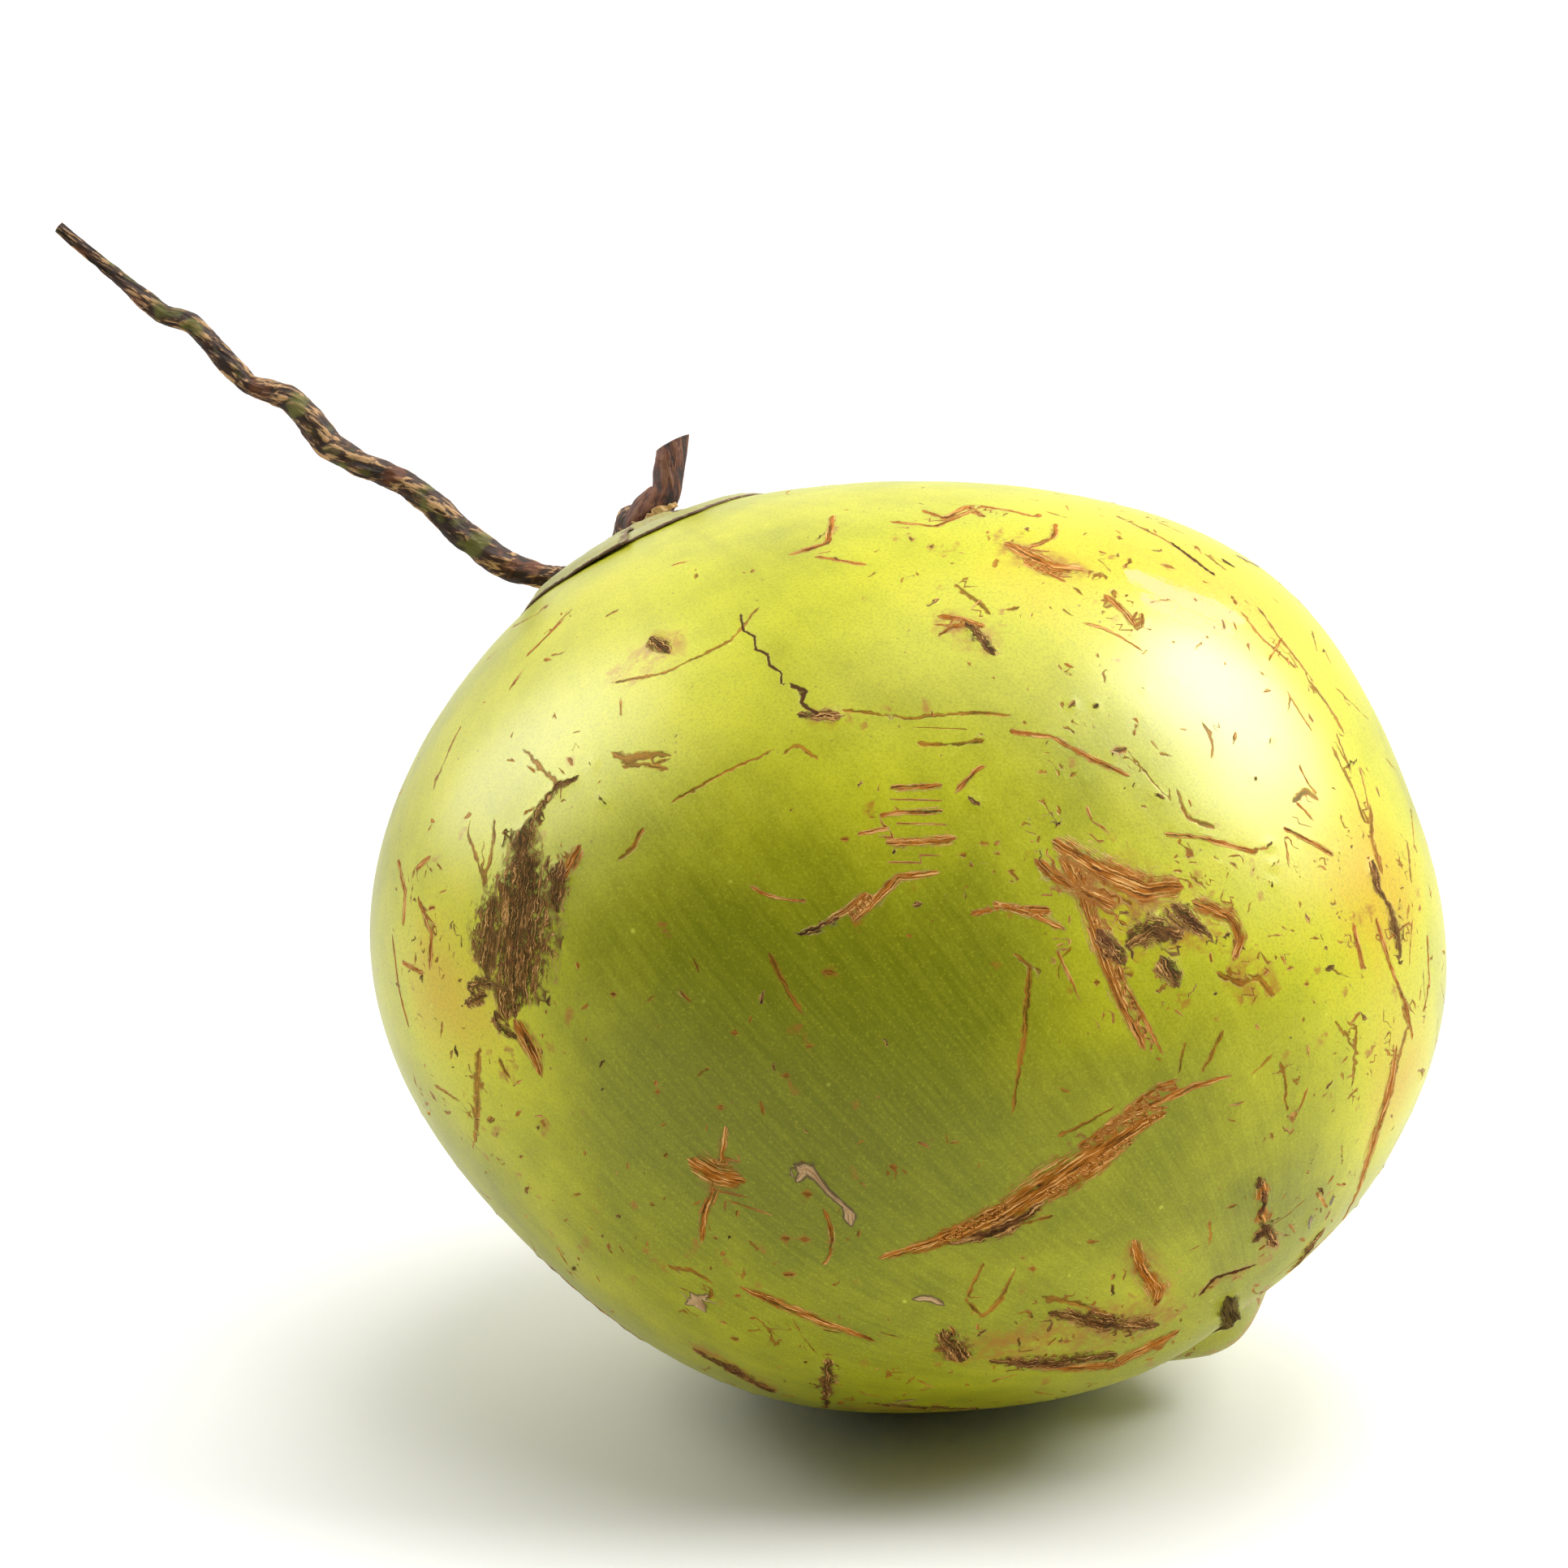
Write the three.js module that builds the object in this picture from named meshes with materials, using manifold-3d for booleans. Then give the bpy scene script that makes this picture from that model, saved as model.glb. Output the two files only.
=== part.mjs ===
// A green coconut as picked, lying on the small flat spot of its husk, with the scales of its
// calyx and the dried stem still on it. Millimetres, +Z up, origin at the centre of the flat spot.
import * as THREE from "three";
import { mergeVertices } from "three/addons/utils/BufferGeometryUtils.js";
import Module from "manifold-3d";

// ---- Driving dimensions ----

// Long section of the husk through the stem pole: distance from the fruit's centre to the skin at
// equal steps of angle, from the stem pole down the left side to the blossom end, then back up the
// right side.
const SECTION_RADII = [91.5, 97, 103, 104, 97.5, 95, 92.5, 91, 92, 93, 94, 89, 87.5, 83, 79.5, 83];
const FLATTENING = -3; // how much nearer the front and back are than the sides, at the waist
const RIDGE_HEIGHT = 2.6; // of the three long ridges, at the waist
const RIDGE_AZIMUTH = 50; // degrees about the fruit's axis, of the first ridge

// The three lobes at the blossom end: azimuth, angle from the blossom pole, spread and height.
const LOBES = [
  { azimuth: 50, offPole: 14, spread: 12, height: 2 },
  { azimuth: -70, offPole: 14, spread: 12, height: 1.5 },
  { azimuth: 172, offPole: 13, spread: 8.5, height: 5.5 },
];
// The creases on both sides of the tallest lobe, and the dimple of the blossom scar.
const HOLLOWS = [
  { azimuth: 110, offPole: 11, spread: 7, height: -6 },
  { azimuth: 234, offPole: 11, spread: 7, height: -6 },
  { azimuth: 0, offPole: 0, spread: 6, height: -2.5 },
];

// How the fruit lies, as turns from upright with its stem on top.
const TIP_BACK = 12; // degrees, stem away from the viewer
const LEAN_LEFT = 36.8; // degrees
const NOD_BACK = 14; // degrees, the whole fruit away from the viewer
const FRUIT_CENTRE = new THREE.Vector3(3, -5, 90);

const HUSK_DETAIL = 17; // subdivisions of each icosahedron edge

// Calyx scales, in two whorls of three. Angles are degrees about the fruit's centre.
const GAP = 0.3; // between neighbouring pieces
const SCALE_THICKNESS = 0.4;
const SCALE_MARGIN = 0.35; // thickness at the rim
const PETAL_OVERLAP = 0.75; // how far the riding side of a petal scale is lifted
// Reach is how far a scale's rim is from the stem pole, and skew how much further its riding side
// goes.
const PETAL_SCALES = [
  { azimuth: 72, reach: 18, skew: 5 },
  { azimuth: 192, reach: 16, skew: 0 },
  { azimuth: -48, reach: 17.5, skew: -4 },
];
const PETAL_HOLE = 3.8;
const PETAL_HALF_SPAN = 66;
const SEPAL_SCALES = [
  { azimuth: 18, reach: 9, skew: 0 },
  { azimuth: 138, reach: 9, skew: 0 },
  { azimuth: 258, reach: 8.5, skew: 0 },
];
const SEPAL_HOLE = 4.8;
const SEPAL_HALF_SPAN = 54;
const SEPAL_LIFT = 1.8;

// Dried stem: centreline points and radii. The stub is the cut stalk, the twig its zigzag end.
const STUB = [
  { at: [-51.1, 31.1, 155.5], radius: 3.2 },
  { at: [-52.3, 32.0, 157.2], radius: 3.8 },
  { at: [-50.4, 31.8, 160.6], radius: 3.6 },
  { at: [-47.6, 32.0, 164.0], radius: 2.8 },
  { at: [-46.3, 35.2, 172.9], radius: 2.95 },
];
const STUB_SLANT = 0.7; // rise of the cut across the stub
const TWIG = [
  { at: [-51.6, 32.2, 159.4], radius: 2.8 },
  { at: [-54.4, 39.4, 157.0], radius: 2.9 },
  { at: [-56.2, 47.9, 150.2], radius: 2.8 },
  { at: [-61.0, 51.6, 143.6], radius: 2.6 },
  { at: [-70.5, 50.7, 143.8], radius: 2.3 },
  { at: [-78.0, 51.1, 145.5], radius: 2.7 },
  { at: [-82.8, 50.8, 148.4], radius: 2.9 },
  { at: [-87.4, 51.7, 151.9], radius: 2.8 },
  { at: [-93.8, 52.2, 158.2], radius: 2.5 },
  { at: [-99.7, 53.3, 162.5], radius: 2.5 },
  { at: [-107.1, 52.0, 165.8], radius: 2.4 },
  { at: [-113.9, 54.0, 169.5], radius: 2.8 },
  { at: [-117.1, 54.1, 174.1], radius: 2.8 },
  { at: [-121.8, 55.2, 178.7], radius: 2.5 },
  { at: [-129.4, 54.9, 181.4], radius: 1.9 },
  { at: [-139.9, 56.7, 192.6], radius: 2.0 },
  { at: [-145.9, 56.2, 195.0], radius: 2.0 },
  { at: [-155.9, 58.2, 203.1], radius: 1.2 },
  { at: [-165.7, 59.2, 211.2], radius: 1.0 },
];

// The torn dry bract that stands in front of the stub's foot.
const BRACT_HALF_WIDTH = 4.4;
const BRACT_HEIGHT = 1.5;
const BRACT_THICKNESS = 0.6;
const BRACT_CENTRE_HEIGHT = 94; // of its lower edge, from the fruit's centre
const BRACT_FORWARD = 4.9; // from the stem pole towards the viewer
const BRACT_RIGHT = 4.5; // from the stem pole towards the viewer's right

const rad = THREE.MathUtils.degToRad;

// ---- Husk shape ----

// A smooth closed curve through the section radii, as their trigonometric interpolation.
function sectionRadius(angle) {
  const count = SECTION_RADII.length;
  let sum = 0;
  for (let k = 0; k < count; k++) {
    const x = angle - (2 * Math.PI * k) / count;
    const bottom = count * Math.tan(x / 2);
    sum += SECTION_RADII[k] * (Math.abs(bottom) < 1e-9 ? 1 : Math.sin((count * x) / 2) / bottom);
  }
  return sum;
}

// A round swelling or hollow near the blossom pole, 1 at its middle.
function swelling({ azimuth, offPole, spread }, polar, turn) {
  const fromPole = Math.PI - polar;
  const cosine =
    Math.cos(fromPole) * Math.cos(rad(offPole)) +
    Math.sin(fromPole) * Math.sin(rad(offPole)) * Math.cos(turn - rad(azimuth));
  return Math.exp((-2 * (1 - cosine)) / rad(spread) ** 2);
}

// Distance from the fruit's centre to its skin, at an angle from the stem pole and an azimuth that
// is 0 towards the front and 90 degrees towards the left.
function skinRadius(polar, turn) {
  const left = sectionRadius(polar);
  const right = sectionRadius(2 * Math.PI - polar);
  const waist = Math.sin(polar) ** 2;
  let radius = (left + right) / 2 + ((left - right) / 2) * Math.sin(turn);
  radius += FLATTENING * waist * Math.cos(turn) ** 2;
  radius += RIDGE_HEIGHT * waist * Math.cos(3 * (turn - rad(RIDGE_AZIMUTH)));
  for (const lump of [...LOBES, ...HOLLOWS]) radius += lump.height * swelling(lump, polar, turn);
  return radius;
}

// Places a direction and a distance from the fruit's centre in the lying fruit.
const LIE = new THREE.Matrix4()
  .makeTranslation(FRUIT_CENTRE)
  .multiply(new THREE.Matrix4().makeRotationX(rad(-NOD_BACK)))
  .multiply(new THREE.Matrix4().makeRotationY(rad(-LEAN_LEFT)))
  .multiply(new THREE.Matrix4().makeRotationX(rad(-TIP_BACK)));

function placed(polar, turn, distance) {
  const across = distance * Math.sin(polar);
  const point = new THREE.Vector3(
    -across * Math.sin(turn),
    -across * Math.cos(turn),
    distance * Math.cos(polar),
  );
  return point.applyMatrix4(LIE);
}

// A point above the skin by a height.
const aboveSkin = (polar, turn, height) => placed(polar, turn, skinRadius(polar, turn) + height);

function huskGeometry() {
  const ball = new THREE.IcosahedronGeometry(1, HUSK_DETAIL);
  ball.deleteAttribute("normal");
  ball.deleteAttribute("uv");
  const geometry = mergeVertices(ball, 1e-5);
  const position = geometry.getAttribute("position");
  for (let i = 0; i < position.count; i++) {
    const direction = new THREE.Vector3().fromBufferAttribute(position, i).normalize();
    const polar = Math.acos(THREE.MathUtils.clamp(direction.z, -1, 1));
    const turn = Math.atan2(-direction.x, -direction.y);
    const point = aboveSkin(polar, turn, 0);
    position.setXYZ(i, point.x, point.y, Math.max(point.z, 0)); // pressed flat where it rests
  }
  return geometry;
}

// ---- Thin plates ----

// A closed plate between an upper and a lower surface, each a function of a column and a row
// fraction from 0 to 1.
function plateGeometry(upper, lower, columns, rows) {
  const points = [];
  const index = [];
  const side = (columns + 1) * (rows + 1);
  for (const surface of [upper, lower]) {
    for (let j = 0; j <= rows; j++) {
      for (let i = 0; i <= columns; i++) points.push(...surface(i / columns, j / rows).toArray());
    }
  }
  const at = (i, j, layer) => layer * side + j * (columns + 1) + i;
  const quad = (a, b, c, d) => index.push(a, b, c, a, c, d);
  for (let j = 0; j < rows; j++) {
    for (let i = 0; i < columns; i++) {
      quad(at(i, j, 0), at(i + 1, j, 0), at(i + 1, j + 1, 0), at(i, j + 1, 0));
      quad(at(i, j, 1), at(i, j + 1, 1), at(i + 1, j + 1, 1), at(i + 1, j, 1));
    }
    quad(at(0, j, 0), at(0, j + 1, 0), at(0, j + 1, 1), at(0, j, 1));
    quad(at(columns, j, 0), at(columns, j, 1), at(columns, j + 1, 1), at(columns, j + 1, 0));
  }
  for (let i = 0; i < columns; i++) {
    quad(at(i, 0, 0), at(i, 0, 1), at(i + 1, 0, 1), at(i + 1, 0, 0));
    quad(at(i, rows, 0), at(i + 1, rows, 0), at(i + 1, rows, 1), at(i, rows, 1));
  }
  const geometry = new THREE.BufferGeometry();
  geometry.setAttribute("position", new THREE.Float32BufferAttribute(points, 3));
  geometry.setIndex(index);
  return geometry;
}

// One calyx scale: it hugs the husk, is rounded at its rim, and rides over its neighbour on one side.
function scaleGeometry({ azimuth, reach, skew }, hole, halfSpan, lift, overlap) {
  const rimThinning = (f) => THREE.MathUtils.smoothstep(f, 0.75, 1);
  const surface = (top) => (column, row) => {
    const across = 2 * column - 1;
    const rim = reach * (1 - 0.08 * across ** 4) - skew * across;
    const polar = rad(hole + (rim - hole) * row);
    const turn = rad(azimuth + halfSpan * across);
    const ride = overlap * THREE.MathUtils.smoothstep(-across, -0.8, 0.8);
    const thinning = Math.max(rimThinning(row), rimThinning(Math.abs(across)));
    const thickness = THREE.MathUtils.lerp(SCALE_THICKNESS, SCALE_MARGIN, thinning);
    return aboveSkin(polar, turn, lift + ride + (top ? thickness : 0));
  };
  return plateGeometry(surface(true), surface(false), 16, 8);
}

// The bract: a low wall curved round the front of the stub's foot, with a torn upper edge.
function bractGeometry() {
  const stemward = placed(0, 0, 1).sub(FRUIT_CENTRE);
  const front = placed(Math.PI / 2, 0, 1).sub(FRUIT_CENTRE);
  const rightward = placed(Math.PI / 2, -Math.PI / 2, 1).sub(FRUIT_CENTRE);
  const foot = FRUIT_CENTRE.clone().addScaledVector(stemward, BRACT_CENTRE_HEIGHT);
  const surface = (outer) => (column, row) => {
    const across = 2 * column - 1;
    const torn = 0.72 + 0.2 * Math.sin(5 * across + 1) + 0.08 * Math.sin(17 * across);
    const forward = BRACT_FORWARD - 0.6 * across ** 2 + (outer ? BRACT_THICKNESS : 0);
    return foot
      .clone()
      .addScaledVector(rightward, BRACT_RIGHT + BRACT_HALF_WIDTH * across)
      .addScaledVector(front, forward)
      .addScaledVector(stemward, BRACT_HEIGHT * torn * row);
  };
  return plateGeometry(surface(true), surface(false), 14, 3);
}

// ---- Stem ----

// A closed round limb along a smooth curve, its radius eased between the given points. The slant
// raises one side of its far end, as an oblique cut does.
function limbGeometry(stations, sides, steps, slant) {
  const curve = new THREE.CatmullRomCurve3(
    stations.map((station) => new THREE.Vector3(...station.at)),
    false,
    "catmullrom",
    0.4,
  );
  const frames = curve.computeFrenetFrames(steps, false);
  const points = [];
  const index = [];
  for (let i = 0; i <= steps; i++) {
    const t = curve.getUtoTmapping(i / steps) * (stations.length - 1);
    const before = Math.min(Math.floor(t), stations.length - 2);
    const radius = THREE.MathUtils.lerp(
      stations[before].radius,
      stations[before + 1].radius,
      t - before,
    );
    const centre = curve.getPointAt(i / steps);
    for (let k = 0; k < sides; k++) {
      const angle = (2 * Math.PI * k) / sides;
      const offset = new THREE.Vector3()
        .addScaledVector(frames.normals[i], radius * Math.cos(angle))
        .addScaledVector(frames.binormals[i], radius * Math.sin(angle));
      const cut = i === steps ? slant * offset.x : 0;
      points.push(...offset.add(centre).addScaledVector(frames.tangents[i], cut).toArray());
    }
  }
  for (let i = 0; i < steps; i++) {
    for (let k = 0; k < sides; k++) {
      const next = (k + 1) % sides;
      const [a, b] = [i * sides + k, i * sides + next];
      index.push(a, b, b + sides, a, b + sides, a + sides);
    }
  }
  for (let k = 1; k < sides - 1; k++) {
    index.push(0, k + 1, k);
    index.push(steps * sides, steps * sides + k, steps * sides + k + 1);
  }
  const geometry = new THREE.BufferGeometry();
  geometry.setAttribute("position", new THREE.Float32BufferAttribute(points, 3));
  geometry.setIndex(index);
  return geometry;
}

// The stub and the twig grew as one piece, so they are joined.
const wasm = await Module();
wasm.setup();

function solidOf(geometry) {
  return new wasm.Manifold(
    new wasm.Mesh({
      numProp: 3,
      vertProperties: geometry.getAttribute("position").array,
      triVerts: new Uint32Array(geometry.index.array),
    }),
  );
}

function stemGeometry() {
  const stub = solidOf(limbGeometry(STUB, 14, 14, STUB_SLANT));
  const twig = solidOf(limbGeometry(TWIG, 10, 72, 0));
  const joined = stub.add(twig).getMesh();
  const geometry = new THREE.BufferGeometry();
  geometry.setAttribute("position", new THREE.BufferAttribute(joined.vertProperties, 3));
  geometry.setIndex(new THREE.BufferAttribute(joined.triVerts, 1));
  return geometry;
}

// ---- Assembly ----

const finish = (color, roughness) =>
  new THREE.MeshStandardMaterial({ color, roughness, metalness: 0 });

const huskSkin = finish(0x9ba52c, 0.42);
const petalSkin = finish(0xa3a566, 0.6);
const sepalSkin = finish(0x8a7a4c, 0.7);
const dryStalk = finish(0x4e3424, 0.85);
const dryBract = finish(0xc98a4e, 0.8);

const coconut = new THREE.Group();

function addPiece(name, geometry, material) {
  const mesh = new THREE.Mesh(geometry, material);
  mesh.name = name;
  coconut.add(mesh);
}

addPiece("husk", huskGeometry(), huskSkin);
PETAL_SCALES.forEach((scale, i) => {
  const geometry = scaleGeometry(scale, PETAL_HOLE, PETAL_HALF_SPAN, GAP, PETAL_OVERLAP);
  addPiece(`petal_scale_${i + 1}`, geometry, petalSkin);
});
SEPAL_SCALES.forEach((scale, i) => {
  const geometry = scaleGeometry(scale, SEPAL_HOLE, SEPAL_HALF_SPAN, SEPAL_LIFT, 0);
  addPiece(`sepal_scale_${i + 1}`, geometry, sepalSkin);
});
addPiece("stem", stemGeometry(), dryStalk);
addPiece("torn_bract", bractGeometry(), dryBract);

export default coconut;
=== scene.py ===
"""A green coconut as picked, lying on the small flat spot of its husk: the marked waxy husk, the
calyx scales round its stem end, the dried stem with its zigzag twig, and a torn dry bract.
Metres, +Z up, origin at the centre of the flat spot. Shapes are written in millimetres."""

import math
from functools import partial

import bpy
import numpy as np
from bpy.props import FloatProperty, FloatVectorProperty, IntProperty, PointerProperty
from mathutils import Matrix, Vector


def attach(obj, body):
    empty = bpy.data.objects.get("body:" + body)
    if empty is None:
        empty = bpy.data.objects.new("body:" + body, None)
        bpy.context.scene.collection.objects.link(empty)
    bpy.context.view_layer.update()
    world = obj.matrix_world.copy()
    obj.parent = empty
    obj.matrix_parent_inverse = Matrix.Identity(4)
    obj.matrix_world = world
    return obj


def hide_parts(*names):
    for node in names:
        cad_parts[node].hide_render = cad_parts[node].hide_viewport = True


bl_info = {
    "name": "Green Coconut",
    "version": (1, 0, 0),
    "blender": (4, 5, 0),
    "location": "3D View > Sidebar > Coconut",
    "description": "Grows a green coconut husk with its calyx, stem and marks",
    "category": "Add Mesh",
}

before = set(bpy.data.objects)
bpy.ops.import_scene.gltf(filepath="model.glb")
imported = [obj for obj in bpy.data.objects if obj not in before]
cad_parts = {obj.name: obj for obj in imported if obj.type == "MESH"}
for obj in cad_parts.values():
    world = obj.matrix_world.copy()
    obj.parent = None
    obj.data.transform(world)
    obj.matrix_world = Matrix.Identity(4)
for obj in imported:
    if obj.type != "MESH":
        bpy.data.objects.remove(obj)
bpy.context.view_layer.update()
MM = 0.001

# ---- How the fruit lies, the same as in the solid model ----

FRUIT_CENTRE = np.array([3.0, -5.0, 90.0])
TIP_BACK, LEAN_LEFT, NOD_BACK = (math.radians(a) for a in (12.0, 36.8, 14.0))
EYE = np.array([-25.1, -785.8, 310.7])  # where the person stands who sees the front, mm
SIGHT_DIP = math.radians(14)  # how far that person looks down

# Distance from the fruit's centre to the skin at equal steps of angle: from the stem pole down
# the left side to the blossom end, then back up the right side.
SECTION_RADII = (91.5, 97, 103, 104, 97.5, 95, 92.5, 91, 92, 93, 94, 89, 87.5, 83, 79.5, 83)

# Lobes and hollows at the blossom end: azimuth, angle from the blossom pole, spread (degrees)
# and height (mm). The last two hollows sharpen the crease beside the tallest lobe.
SWELLINGS = (
    (50, 14, 12, 2),
    (-70, 14, 12, 1.5),
    (172, 13, 8.5, 5.5),
    (110, 11, 7, -6),
    (234, 11, 7, -6),
    (0, 0, 6, -2.5),
)

# ---- Marks on the husk ----

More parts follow.
